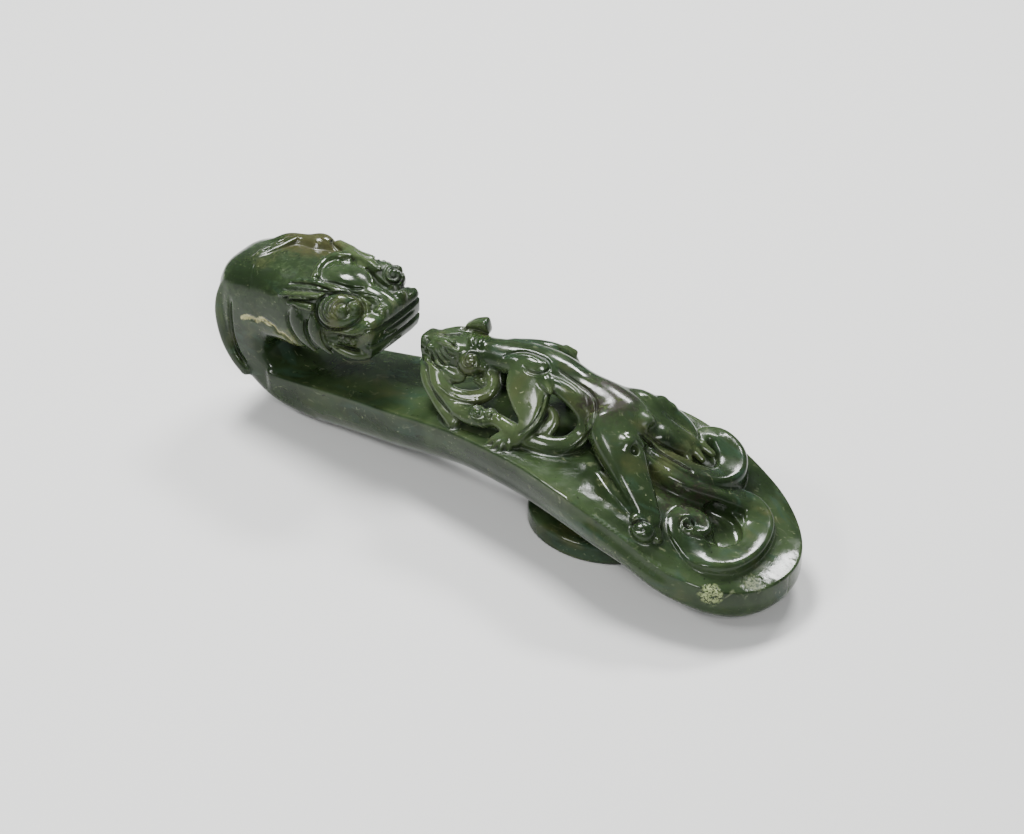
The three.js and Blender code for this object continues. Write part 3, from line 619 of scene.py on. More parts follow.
HEAD_LINES = (
    # brows and hair
    (0.5, 0.35, 1.6, [(-58.0, -5.9, 28.8), (-54.4, -5.4, 29.8), (-51.6, -5.1, 30.1),
        (-49.4, -5.3, 30.3)]),
    (0.45, 0.3, 1.6, [(-57.6, -8.4, 27.6), (-55.4, -8.0, 28.4), (-52.8, -7.6, 28.9),
        (-50.9, -7.3, 29.2)]),
    (0.4, 0.25, 1.6, [(-58.2, -7.4, 28.4), (-55.4, -7.0, 29.0), (-52.8, -6.5, 29.5),
        (-50.6, -6.2, 29.9)]),
    (0.45, -0.2, 1.6, [(-57.8, -6.7, 28.8), (-55.2, -6.3, 29.4), (-52.6, -5.9, 29.8),
        (-50.2, -5.8, 30.2)]),
    (0.4, -0.2, 1.6, [(-57.2, -4.8, 29.4), (-54.6, -4.3, 29.9), (-51.6, -3.9, 30.2),
        (-48.8, -3.9, 30.4)]),
    (0.45, 0.28, 1.6, [(-55.9, -8.6, 27.0), (-54.8, -8.5, 26.7), (-54.2, -8.5, 25.8),
        (-54.6, -8.6, 25.0)]),
    # edges of the cheek lobes
    (0.6, 0.4, 1.6, [(-56.4, -8.6, 25.6), (-56.6, -8.6, 23.4), (-55.6, -8.4, 21.0), (-54.0, -8.0, 18.8)]),
    (0.6, 0.45, 1.6, [(-52.7, -8.6, 25.4), (-52.8, -8.7, 23.0), (-51.7, -8.6, 20.8),
        (-50.3, -8.0, 19.0)]),
    (0.5, 0.35, 1.6, [(-49.4, -8.6, 25.0), (-49.2, -8.7, 22.9), (-48.4, -8.4, 21.2),
        (-47.4, -7.8, 20.2)]),
    # nostrils and the lines beside the nose
    (0.42, 0.26, 1.6, [(-44.4, -2.4, 29.3), (-42.9, -2.0, 29.5), (-41.9, -2.6, 29.2), (-42.3, -3.6, 28.9),
        (-43.4, -3.7, 28.9)]),
    (0.4, 0.25, 1.6, [(-45.6, -1.9, 29.4), (-43.8, -1.3, 29.3), (-42.0, -1.0, 29.0)]),
    (0.4, 0.24, 1.6, [(-42.6, -4.4, 28.8), (-41.8, -3.4, 28.9), (-40.8, -2.4, 28.7)]),
    # mouth, behind the lips
    (0.45, 0.3, 1.6, [(-47.9, -8.2, 24.0), (-45.6, -8.0, 24.6), (-43.2, -7.6, 24.9),
        (-42.0, -7.1, 25.6)]),
    (0.5, 0.3, 1.6, [(-47.2, -8.0, 22.0), (-44.6, -7.7, 22.2), (-42.4, -7.2, 22.2)]),
    # the crease inside the rim down the neck's edge
    (0.9, 0.42, 1.6, [(-69.6, -7.8, 22.4), (-69.8, -7.8, 18.4), (-69.6, -7.7, 14.6), (-68.6, -7.5, 11.4),
        (-67.2, -7.3, 9.6)]),
    # round the forehead's dome
    (0.6, 0.3, 1.6, [(-54.4, -2.9, 29.9), (-53.0, -3.6, 29.9), (-50.4, -3.3, 30.3), (-47.6, -2.4, 30.0),
        (-45.9, -0.7, 29.6)]),
)


def engrave_all(clay, lines, side=-1):
    """Engraves a table of lines on the near side, or on the far side where side is 1."""
    for width, depth, reach, points in lines:
        clay.engrave(mirrored(points, side), width, depth, VIEW * [1, -side, 1], reach)


def dragon_lines(clay):
    for side in (-1, 1):
        view = VIEW * [1, -side, 1]
        clay.engrave(mirrored(EYE_RIM, side), 0.85, 0.45, view, taper=False)
        engrave_all(clay, EYE_LINES, side)
        flat, rise = facing(view)
        for pearl in pearls(side):
            rim = spiral(pearl + 0.8 * view, flat, rise, 1.35, 1.25, 1.0)
            pupil = spiral(pearl + 0.9 * view, flat, rise, 0.45, 0.4, 1.0)
            clay.engrave(rim, 0.4, 0.26, view, 1.8, taper=False)
            clay.engrave(pupil, 0.25, 0.1, view, taper=False)
        engrave_all(clay, HEAD_LINES, side)

    # lip lines across the front, and round its corners
    half = SNOUT_WIDTH / 2
    for z, length, width, depth in ((26.4, 1.0, 1.0, 0.7), (25.2, 0.6, 0.7, 0.45), (23.4, 1.0, 1.0, 0.6)):
        clay.engrave([(-SNOUT_REACH, -length * half, z), (-SNOUT_REACH, 0, z),
                      (-SNOUT_REACH, length * half, z)], width, depth, along=X, reach=2.0,
                     taper=length < 1)
    clay.engrave([(-54.2, 2.9, 30.2), (-53.2, 4.2, 30.4), (-51.6, 3.9, 30.3)], 0.9, 0.4)
    # the far brow is striated, and its eye ends in a spiral
    for shift in (0.0, 0.8, 1.6, 2.4):
        clay.engrave([(-54.6 + 0.5 * shift, 7.4 - 0.5 * shift, 30.3),
                      (-51.0 + 0.4 * shift, 7.0 - 0.7 * shift, 30.8),
                      (-48.0 + 0.3 * shift, 6.2 - 0.8 * shift, 30.8)], 0.42, 0.26)
    clay.engrave(spiral((-44.8, 5.4, 29.6), *facing(VIEW),
                        1.9, 0.3, 1.9, 0.3), 0.5, 0.34, reach=2.4)
    clay.engrave([(-59.4, 7.8, 29.2), (-58.8, 6.4, 30.2), (-57.4, 5.2, 30.5), (-55.4, 5.0, 30.4)], 0.7, 0.4)
    # two small hollows in the lock on the mane
    clay.engrave([(-67.0, -1.4, 29.5), (-66.6, -0.5, 29.7)], 0.7, 0.3, along=Z, taper=False)
    clay.engrave([(-66.1, 1.2, 29.9), (-65.7, 2.1, 30.1)], 0.7, 0.3, along=Z, taper=False)
    # a fissure that weathering has opened across the neck, and a hairline crack above it
    clay.engrave(FISSURE, 0.7, 0.3)
    clay.engrave([(-66.4, -4.1, 28.9), (-66.1, -5.8, 28.2), (-65.5, -6.9, 27.0), (-65.6, -7.5, 25.6)],
                 0.3, 0.12)


# The chilong. Forms that pass through over() or on_shaft() have a height above the shaft's top face
# in place of z.

def over(rows):
    """Rows drawn over the shaft's top face, as rows in the frame."""
    rows = np.array(rows, float)
    rows[:, 2] += top_height_at(rows[:, 0])
    return rows


def on_shaft(x, y, up):
    return np.array([x, y, top_height_at(x) + up])


def relief(rows, **options):
    """A flat-topped strand with upright sides that go down into the shaft.

    Rows are x, y, height above the shaft, half width.
    """
    rows = over([(x, y, (up - RELIEF_SINK) / 2, wide, (up + RELIEF_SINK) / 2) for x, y, up, wide in rows])
    return strand(rows, **{"power": 4.5, "sides": 32, "blunt": 0.5, **options})


def knobs(clay, blend, *rows):
    """Round knobs. Rows are x, y, z, size."""
    for x, y, z, size in rows:
        clay.add(lump((x, y, z), (size, size, size)), blend)


def chilong_head(clay):
    clay.add(strand(over([
        (-32.3, -0.6, 8.2, 2.2, 3.0), (-30.2, -0.3, 8.6, 3.3, 3.2), (-26.6, 0.2, 8.8, 3.9, 3.0),
        (-22.6, 0.6, 9.1, 3.0, 2.6)]), power=2.8, sides=36), 0.6)
    clay.add(lump((-32.3, -0.6, 25.1), (1.6, 1.9, 1.1), power=4), 0.3)
    # the ear block on the far side, and the ear's curl on the near side
    clay.add(strand([(-27.4, 2.9, 27.2, 0.9, 1.0), (-25.8, 3.3, 28.0, 1.1, 1.3),
                     (-24.2, 3.7, 28.4, 1.2, 1.4)], power=4.5, blunt=0.3, sides=32), 0.3)
    clay.add(strand([(-28.8, -2.4, 25.6, 0.5, 0.5), (-27.2, -2.8, 26.1, 0.8, 0.7),
                     (-25.6, -3.0, 26.3, 0.5, 0.5)]), 0.3)
    # brows, nose and the lips' edge
    for side in (-1, 1):
        clay.add(strand([(-31.0, 1.4 * side, 25.9, 0.5, 0.6), (-29.0, 2.0 * side, 26.6, 0.8, 0.7),
                         (-27.0, 2.4 * side, 27.0, 0.7, 0.7)]), 0.3)
        clay.add(lump((-32.7, 1.6 * side - 0.5, 24.9), (0.9, 0.8, 0.8)), 0.2)
        clay.add(lump((-31.0, 2.6 * side - 0.4, 25.2), (0.85, 0.6, 0.7)), 0.2)
        clay.add(strand([(-33.2, 1.2 * side - 0.5, 22.6, 0.5, 0.5),
                         (-31.0, 3.0 * side - 0.4, 22.7, 0.8, 0.6),
                         (-28.6, 3.9 * side - 0.2, 22.9, 0.7, 0.6), (-26.8, 4.1 * side, 23.2, 0.4, 0.4)]),
                 0.3)
    # the two curls behind the head, and the round lock with its pearls below them
    clay.add(strand([(-25.4, 1.6, 27.2, 0.5, 0.5), (-24.6, -0.2, 27.8, 0.65, 0.6),
                     (-23.8, -1.2, 27.6, 0.5, 0.5)]), 0.2)
    clay.add(strand([(-23.7, 1.6, 27.4, 0.4, 0.4), (-22.9, -0.2, 27.9, 0.6, 0.6),
                     (-22.3, -1.0, 27.6, 0.45, 0.45)]), 0.2)
    clay.add(lump((-23.2, -2.4, 24.8), (2.3, 2.1, 1.9), NEAR_FLANK), 0.2)
    clay.add(lump((-26.2, -3.7, 22.4), (2.9, 1.6, 1.2), NEAR_FLANK), 0.6)
    knobs(clay, 0.2, (-21.9, -2.2, 23.6, 0.9), (-20.4, -3.0, 22.6, 0.95), (-21.2, -3.4, 22.9, 0.7),
          (-20.9, -1.9, 24.8, 1.0), (-19.6, -2.0, 23.6, 0.9))


def chilong_body(clay):
    clay.add(strand(over([
        (-24.5, 0.4, 9.2, 2.6, 2.5), (-20.0, 1.0, 9.4, 2.9, 2.6), (-15.0, 2.0, 9.3, 3.5, 2.8),
        (-10.0, 2.6, 8.6, 3.8, 2.9), (-4.5, 2.6, 7.2, 3.5, 2.8), (1.0, 2.2, 6.4, 4.0, 3.2),
        (5.0, 1.4, 5.2, 4.4, 3.4), (8.4, 0.4, 3.6, 2.6, 2.2)]), sides=40), 0.8)
    clay.add(strand(over([
        (0.4, 4.4, 4.6, 2.6, 3.6), (4.4, 6.2, 3.8, 3.0, 4.0), (7.8, 7.6, 2.4, 2.2, 3.0)]), sides=32), 0.8)


def chilong_legs(clay):
    # near foreleg: a flat teardrop whose rear edge ends in a flame tip
    clay.add(strand(over([
        (-13.0, 0.2, 9.6, 3.7, 1.7), (-11.9, -1.8, 8.2, 4.1, 1.5), (-10.2, -3.9, 6.3, 3.4, 1.35),
        (-9.0, -5.6, 4.5, 2.3, 1.25), (-8.9, -7.0, 3.0, 1.5, 1.2), (-10.0, -8.5, 1.2, 1.3, 1.0)]),
        up=NEAR_FLANK, sides=36, power=2.6), 0.5)
    clay.add(strand([(-10.4, -0.8, 27.1, 1.2, 0.8), (-8.5, -2.0, 26.8, 1.0, 0.8),
                     (-6.7, -3.2, 26.2, 0.35, 0.5)], up=NEAR_FLANK), 0.4)
    for reach, spread in ((-3.2, 0.2), (-1.7, -0.5), (-0.2, -0.6), (1.2, 0.1)):
        clay.add(strand(over([(-10.6 + 0.25 * reach, -8.0, 1.7, 0.75, 0.7),
                              (-11.1 + 0.65 * reach, -9.2 + 0.5 * spread, 1.0, 0.75, 0.7),
                              (-11.2 + 0.9 * reach, -10.2 + spread, 0.2, 0.35, 0.4)])), 0.15)
    clay.add(strand(over([
        (-18.4, 3.0, 9.6, 2.4, 2.0), (-14.8, 6.0, 9.2, 2.3, 1.6), (-12.0, 8.0, 8.2, 1.7, 1.3),
        (-10.9, 8.8, 6.2, 1.4, 1.3), (-11.2, 9.6, 3.0, 1.6, 1.5), (-12.4, 10.0, 0.8, 1.6, 1.2)]),
        up=(0.3, 0.9, 0.3), sides=28), 0.5)
    for shift in (-1.1, 0, 1.1):
        clay.add(strand(over([(-12.2 + 0.5 * shift, 9.6, 1.0, 0.7, 0.7),
                              (-12.9 + shift, 11.0 - 0.3 * abs(shift), 0.2, 0.5, 0.5)])), 0.15)
        clay.add(lump((-11.4 + 0.5 * shift, 8.9 + 0.3 * shift, 25.9 - 0.35 * shift), (0.7, 0.6, 0.6)), 0.2)
    # near hind leg, its foot and the tendon beside it
    clay.add(strand(over([
        (3.2, -0.8, 5.4, 4.2, 3.4), (7.0, -3.4, 3.9, 4.0, 3.2), (11.0, -5.9, 2.2, 3.1, 2.4),
        (14.8, -8.3, 1.2, 2.4, 1.9), (18.0, -10.5, 0.8, 1.8, 1.5)]), sides=40, power=2.3), 0.7)
    clay.add(strand(over([(5.6, -6.8, 0.1, 0.5, 0.7), (9.4, -8.4, 0.2, 0.8, 0.9),
                          (13.4, -9.9, 0.2, 0.8, 0.8), (16.0, -11.0, 0.1, 0.4, 0.5)])), 0.5)
    clay.add(lump(on_shaft(17.7, -12.5, 0.3), (2.1, 2.0, 1.9)), 0.15)
    clay.add(strand(over([(15.4, -11.6, 0.6, 0.8, 0.8), (16.7, -10.7, 1.0, 0.9, 0.9),
                          (18.6, -10.6, 0.9, 0.9, 0.9), (20.0, -11.6, 0.5, 0.8, 0.8)])), 0.25)
    clay.add(strand(over([
        (3.6, 6.0, 4.4, 3.0, 3.2), (7.4, 8.6, 3.2, 2.5, 2.5), (10.6, 9.4, 2.2, 2.0, 2.0),
        (12.8, 8.4, 1.4, 1.6, 1.7), (12.9, 6.4, 0.9, 1.3, 1.4)]), sides=32), 0.6)
    clay.add(strand([(6.0, 5.0, 22.3, 2.6, 2.3), (9.0, 5.4, 21.0, 2.3, 2.1), (11.8, 6.8, 19.4, 1.7, 1.5),
                     (14.2, 8.0, 18.0, 1.1, 1.0)]), 0.7)
    clay.add(strand([(7.4, 2.8, 21.4, 2.3, 2.2), (10.2, 3.9, 20.1, 2.1, 1.9), (12.4, 5.2, 18.8, 1.6, 1.4),
                     (14.0, 6.4, 17.8, 1.0, 0.9)]), 0.6)
    knobs(clay, 0.8, (6.6, 8.9, 22.9, 1.2), (8.2, 9.2, 22.2, 1.0))
    for start, end in (((13.4, 5.6, 18.2), (14.9, 5.0, 17.0)), ((14.2, 7.0, 18.1), (16.3, 6.7, 16.9)),
                       ((14.6, 8.6, 18.1), (16.9, 8.8, 17.0))):
        clay.add(strand([(*start, 0.95, 0.85), (*end, 0.55, 0.55)]), 0.2)
    # knobs where the tail leaves the haunches
    knobs(clay, 1.1, (8.3, 2.0, 23.6, 1.4), (8.7, -4.0, 23.2, 1.2), (10.4, 3.4, 21.0, 1.3))
    clay.cut(lump((10.0, 1.7, 23.2), (0.9, 1.0, 1.0)), 0.5)
    clay.cut(lump((10.1, -4.0, 22.5), (0.8, 0.8, 0.9)), 0.4)


OPENWORK_STRANDS = (
    # leaf inside the ring
    [(-7.0, -2.9, 5.6, 0.5, 0.6), (-6.0, -3.3, 4.6, 1.0, 0.8), (-5.9, -4.2, 3.4, 1.4, 0.9),
     (-6.7, -5.6, 2.1, 1.7, 1.0)],
    # beard
    [(-32.1, -2.0, 7.0, 1.5, 1.4), (-30.2, -4.2, 5.1, 1.6, 1.2), (-27.4, -6.0, 3.1, 1.3, 1.0),
     (-24.7, -7.3, 1.6, 1.2, 1.0), (-22.0, -8.6, 0.5, 1.1, 0.9)],
    # loop below the head
    [(-29.2, -3.6, 7.6, 1.5, 1.2), (-27.2, -5.6, 5.3, 1.6, 1.1), (-24.6, -6.0, 4.1, 1.5, 1.0),
     (-22.0, -5.6, 3.9, 1.4, 1.0), (-19.9, -4.8, 4.3, 1.3, 1.0), (-18.4, -3.4, 5.2, 1.1, 1.0),
     (-18.8, -2.0, 6.4, 1.1, 1.1), (-20.4, -1.2, 7.4, 1.3, 1.2), (-21.8, -0.8, 7.8, 1.4, 1.3)],
    # the strand below it, which ends in scrolls and carries the paw
    [(-26.2, -5.9, 3.8, 0.9, 0.9), (-22.6, -7.3, 2.6, 1.2, 1.1), (-19.5, -7.6, 2.4, 1.6, 1.3),
     (-17.0, -7.4, 2.5, 1.6, 1.3), (-15.0, -6.8, 2.6, 1.2, 1.1), (-12.4, -7.2, 2.3, 1.3, 1.1),
     (-10.0, -7.6, 2.2, 1.4, 1.1)],
)


def openwork(clay):
    for side, reach in ((-1, 1.0), (1, 1.3)):
        clay.add(strand(over([(-9.4, side * 0.6, 8.8, 1.2, 1.6), (-5.5, side * 0.8, 8.1, 1.5, 1.5),
                              (-2.4, side * 1.0, 6.6, 1.6, 1.5), (-0.8, side * 1.5, 4.7, 1.55, 1.5),
                              (-0.7, side * 2.8 * reach, 2.8, 1.5, 1.4),
                              (-1.9, side * 4.8 * reach, 1.4, 1.5, 1.4),
                              (-4.4, side * 6.3 * reach, 0.9, 1.6, 1.4),
                              (-8.4, side * 7.2 * reach, 1.2, 1.4, 1.2)]), up=(0, side * 0.75, 0.66),
                        sides=28, power=2.6), 0.35)
    for rows in OPENWORK_STRANDS:
        clay.add(strand(over(rows), up=NEAR_FLANK, sides=26, power=2.4), 0.35)
    clay.add(strand(over([(-22.0, 2.6, 7.4, 1.4, 1.6), (-22.4, 5.0, 4.0, 1.4, 1.6),
                          (-21.4, 6.4, 0.6, 1.5, 1.5)]), up=X), 0.5)
    for x, y, z, size in ((-20.3, -7.5, 19.5, 1.0), (-18.2, -7.5, 19.7, 1.6), (-16.0, -6.9, 20.1, 1.25),
                          (-14.4, -7.0, 20.2, 0.8)):
        clay.add(lump((x, y, z), (size, size, 0.85 * size), NEAR_FLANK), 0.15)


# The tail's two ends. Rows are x, y, height above the shaft, half width, and half height for the
# hollow. The curl's points are x and y from SCROLL_AT.

TAIL_FAR = ((9.6, 0.4, 4.6, 1.5), (13.0, 1.6, 3.7, 1.7), (16.6, 2.8, 3.2, 1.9), (19.4, 5.2, 3.0, 2.3),
            (20.2, 8.6, 3.0, 2.6), (18.4, 11.8, 3.0, 2.5), (15.2, 12.8, 2.9, 2.2), (13.2, 11.4, 2.7, 1.7),
            (13.6, 9.6, 2.5, 1.3))
TAIL_NEAR = ((8.6, -1.0, 4.4, 1.3), (11.4, -0.9, 3.6, 1.4), (14.9, -0.6, 3.1, 1.6), (18.5, 1.4, 2.8, 1.9),
             (22.0, 4.5, 2.4, 2.2), (25.4, 6.6, 2.0, 2.3), (28.4, 5.0, 1.7, 2.5), (29.7, 0.0, 1.5, 2.8),
             (29.0, -5.0, 1.5, 3.0), (26.4, -8.0, 1.5, 3.1), (23.4, -7.8, 1.5, 2.7), (21.2, -7.0, 1.5, 2.3),
             (19.8, -5.2, 1.5, 2.0), (20.4, -3.3, 1.5, 1.8), (22.2, -2.8, 1.5, 1.6), (23.5, -4.0, 1.5, 1.4),
             (22.8, -5.4, 1.5, 1.2))
SCROLL_HEIGHT = 1.5
SCROLL_AT = (21.5, -5.0)
SCROLL_CURL = [(3.9, -0.4), (2.7, -1.5), (1.3, -2.4), (-0.2, -2.1), (-0.8, -0.7), (-0.1, 0.4), (0.9, 0.3)]
SCROLL_HOLLOW = [(21.6, 0.9, 0, 1.6, 1.7), (24.2, 0.7, 0, 2.5, 1.7), (26.2, -0.9, 0, 2.4, 1.7),
                 (26.4, -3.1, 0, 1.4, 1.7)]
# Chips out of the paddle's rim: x, y, z, size.
FLAKES = ((34.2, -6.2, 9.0, 0.9), (35.2, -5.6, 8.7, 0.8), (33.4, -7.0, 9.3, 0.6), (34.6, -4.9, 9.1, 0.6))


def tails(clay):
    clay.add(relief(TAIL_FAR), 0.3)
    clay.add(relief(TAIL_NEAR), 0.3)
    # the hollow inside the near scroll is sunk into the shaft
    clay.cut(strand(over(SCROLL_HOLLOW), power=4), 0.15)


# Lines engraved on the chilong. Rows are as for the lines on the dragon's head.

CHILONG_HEAD_LINES = (
    # whiskers, nostril, jaw and brow
    (0.48, 0.36, 2.2, [(-30.6, -3.3, 24.8), (-30.2, -3.4, 23.4), (-29.0, -4.2, 23.0),
        (-27.6, -4.2, 23.0)]),
    (0.48, 0.36, 2.2, [(-30.0, -3.1, 25.4), (-29.2, -3.4, 24.2), (-28.0, -3.7, 23.6),
        (-26.9, -3.6, 23.6)]),
    (0.48, 0.36, 2.2, [(-29.2, -3.0, 25.9), (-28.3, -3.5, 25.1), (-27.3, -3.6, 24.5),
        (-26.4, -3.4, 24.4)]),
    (0.48, 0.36, 2.2, [(-28.4, -2.8, 26.4), (-27.4, -3.4, 26.0), (-26.4, -3.4, 25.6),
        (-25.5, -3.3, 25.6)]),
    (0.48, 0.36, 2.2, [(-33.2, -1.9, 25.1), (-32.6, -1.7, 25.6), (-31.8, -2.4, 25.7),
        (-32.0, -2.8, 25.2)]),
    (0.48, 0.36, 2.2, [(-31.3, -3.4, 22.9), (-29.4, -4.2, 23.1), (-28.0, -4.5, 23.1),
        (-27.0, -4.6, 22.6)]),
    (0.48, 0.36, 2.2, [(-28.8, -2.2, 26.8), (-27.4, -2.3, 27.0), (-26.0, -2.6, 27.0)]),
    (0.48, 0.36, 2.2, [(-31.0, -0.6, 26.4), (-28.8, -0.4, 27.0), (-26.8, 0.6, 27.5)]),
    (0.48, 0.36, 2.2, [(-28.0, 1.6, 27.6), (-26.4, 2.0, 28.0), (-24.6, 2.4, 28.0), (-23.4, 2.8, 27.6)]),
    (0.7, -0.35, 2.0, [(-30.5, -2.1, 26.3), (-28.2, -2.5, 26.8), (-26.0, -3.2, 27.0),
        (-24.9, -3.3, 26.8)]),
    # a groove down the beard, and a raised edge along the loop
    (0.6, 0.3, 1.6, [(-30.9, -4.2, 21.4), (-29.2, -5.5, 20.3), (-27.0, -6.6, 19.3), (-24.8, -7.6, 18.7),
        (-23.0, -8.3, 18.4)]),
    (0.45, -0.16, 1.6, [(-27.2, -6.3, 21.2), (-24.6, -6.6, 20.4), (-22.0, -6.2, 20.2),
        (-19.6, -5.0, 20.4), (-17.9, -3.4, 21.4)]),
)
CHILONG_BODY_LINES = (
    # whorl on the shoulder
    (0.8, 0.34, 2.2, [(-17.6, -1.2, 27.6), (-16.2, -0.2, 28.4), (-14.2, 0.6, 28.9), (-12.0, 1.0, 28.8),
        (-10.4, 1.1, 28.5), (-9.4, 0.3, 28.0), (-9.6, -0.9, 27.6), (-10.6, -1.7, 27.5),
        (-12.0, -2.0, 27.5), (-13.2, -1.6, 27.8)]),
    (0.55, -0.16, 2.0, [(-16.9, -1.2, 28.2), (-15.2, -0.3, 28.8), (-13.2, 0.2, 29.0),
        (-11.4, 0.3, 28.8)]),
    # the foreleg's rear edge
    (0.5, 0.24, 2.0, [(-7.7, -3.2, 25.6), (-7.3, -4.8, 23.8), (-7.5, -6.2, 22.2), (-8.3, -7.4, 20.9),
        (-9.4, -8.5, 19.8)]),
    # where the ring leaves the body, and round the haunch
    (0.6, 0.42, 2.4, [(-8.2, 0.6, 28.2), (-6.0, 0.6, 27.6), (-3.6, 0.5, 27.0), (-1.4, 0.2, 26.5),
        (0.4, -0.6, 25.9), (1.5, -2.2, 24.8), (1.6, -3.6, 23.0), (0.8, -4.6, 21.0), (-0.4, -5.4, 19.4)]),
    # tail roots
    (0.7, 0.5, 2.4, [(8.6, -0.7, 23.3), (9.9, -0.3, 22.2), (11.7, 0.1, 20.8), (13.7, 0.7, 19.7),
        (15.8, 1.3, 18.8), (17.9, 2.0, 17.9)]),
    (0.5, 0.2, 2.0, [(8.9, -2.0, 23.0), (10.4, -1.9, 21.9), (12.4, -1.5, 20.3), (14.9, -1.2, 19.2)]),
    (0.5, 0.2, 2.0, [(8.9, 0.6, 23.0), (10.6, 1.4, 21.4), (12.6, 2.2, 20.3), (14.6, 2.8, 19.4)]),
)


def chilong_lines(clay):
    engrave_all(clay, CHILONG_HEAD_LINES)
    # scrolls on the lower strand, and on the lock behind the cheek
    for *centre, size in ((-17.6, -8.3, 20.7, 1.15), (-15.6, -7.6, 20.8, 0.85), (-22.5, -3.3, 26.0, 1.6)):
        clay.engrave(spiral(centre, *facing(VIEW), size, 0.25, 1.5), 0.42, 0.28, reach=1.8)
    engrave_all(clay, CHILONG_BODY_LINES)
    # a ring round the knob of the near hind foot
    clay.engrave(spiral(on_shaft(17.6, -12.7, 1.6), X, Y, 1.5, 1.2, 0.85, 0.15), 0.45, 0.26, reach=1.8)
    # near scroll's curl
    x, y = SCROLL_AT
    curl = [on_shaft(x + along, y + across, SCROLL_HEIGHT) for along, across in SCROLL_CURL]
    clay.engrave(curl, 0.6, 0.36, along=Z)
    clay.cut(lump(on_shaft(x + 0.4, y - 0.9, SCROLL_HEIGHT + 0.2), (0.75, 0.75, 0.8)), 0.4)
    # the paddle's near edge is rubbed round
    clay.engrave([(5.0, -15.6, 17.3), (10.3, -15.95, 16.4), (15.0, -16.0, 15.0), (19.3, -15.9, 13.3),
                  (23.5, -15.2, 11.6), (27.0, -13.7, 10.3)], 4.6, 0.8, along=(0.1, -0.75, 0.65), reach=5)
    # a flake has gone from the rim of the paddle's end
    for x, y, z, size in FLAKES:
        clay.cut(lump((x, y, z), (size, 1.2 * size, 0.6 * size), power=3), 0.1)


def sculpt():
    clay = Clay(DRAWN_LOW - 0.5, DRAWN_HIGH + 0.5, VOXEL)
    clay.add(shaft(), 0.3)
    clay.add(stem(), 0.3)
    clay.add(button(), 0.4)
    clay.add(neck_and_head(), 1.0)
    snout(clay)
    dragon_forms(clay)
    chilong_body(clay)
    chilong_head(clay)
    chilong_legs(clay)
    openwork(clay)
    tails(clay)
    clay.polish()
    dragon_lines(clay)
    chilong_lines(clay)
    return clay


def give(data, name, values):
    """Stores one value per vertex, for the material to read."""
    data.attributes.new(name, "FLOAT", "POINT").data.foreach_set("value", values.astype(np.float32))


def distance_to(path, points):
    best = np.full(len(points), np.inf)
    for start, end in zip(path, path[1:]):
        step = end - start
        share = np.clip((points - start) @ step / (step @ step), 0, 1)
        best = np.minimum(best, np.linalg.norm(points - start - share[:, None] * step, axis=1))
    return best


def carving():
    """The finished carving as one Blender object, on the frame."""
    clay = sculpt()
    piece = clay.mesh("carved_jade", FACES)
    data = piece.data
    count = len(data.vertices)
    points = np.empty(3 * count)
    data.vertices.foreach_get("co", points)
    points = points.reshape(-1, 3)
    for _ in range(2):
        normals = clay.slope(points)
        points -= clay.sample(clay.field, points)[:, None] * normals
    normals = clay.slope(points)
    inward = clay.sample(clay.field, points - THIN_PROBE * normals)
    outward = clay.sample(clay.field, points + CREASE_PROBE * normals)
    give(data, "thin", np.clip(1 + inward / THIN_RANGE, 0, 1))
    give(data, "crease", np.clip(1 - outward / CREASE_PROBE, 0, 1))
    give(data, "fissure", np.clip(1 - distance_to(FISSURE, points) / FISSURE_REACH, 0, 1))
    node_low, node_high = (np.array(corner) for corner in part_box("belt_hook"))
    fit = (node_high - node_low) / (DRAWN_HIGH - DRAWN_LOW)
    data.vertices.foreach_set("co", (node_low + (points - DRAWN_LOW) * fit).ravel())
    data.update()
    data.shade_smooth()
    data.normals_split_custom_set_from_vertices(normals.tolist())
    return piece


# Jade

DEEP_GREEN = (0.009, 0.017, 0.006, 1)
MID_GREEN = (0.025, 0.041, 0.016, 1)
SEA_GREEN = (0.018, 0.038, 0.023, 1)
OLIVE = (0.050, 0.054, 0.019, 1)
# the painted glow of light through thin jade
THIN_GLOW_GREEN = (0.054, 0.074, 0.030, 1)
PALE_SPECK = (0.19, 0.21, 0.12, 1)
# dark specks in the jade, and the colour of the painted shade in the creases
DARK_SPOT_AND_SHADE = (0.006, 0.008, 0.004, 1)
CHALK = (0.28, 0.33, 0.15, 1)
# brownish stain on the mane ridge, made lighter as a painted glow of light through the thin ridge
STAIN_AND_GLOW = (0.046, 0.042, 0.016, 1)
# a dark cloud in the jade, and the colour of a painted shadow
DARK_CLOUD_AND_SHADOW = (0.016, 0.014, 0.010, 1)
FISSURE_COLOUR = (0.34, 0.33, 0.16, 1)
MOSS = (0.085, 0.096, 0.030, 1)

# Where the photograph has stains and inclusions, and where a shadow and a glow are painted
CLOUD_AT = (1.6, 0.6, 26.2)
MANE_AT = (-63.0, -2.0, 27.0)
STAIN_AND_GLOW_AT = (-61.5, 5.9, 30.2)
SHADOW_AT = (18.5, -1.5, 13.5)
CHALK_AT = (30.8, -12.4, 8.1)
CHIP_AT = (34.4, -6.0, 8.8)
MOSS_AT = (-57.4, -8.1, 18.2)


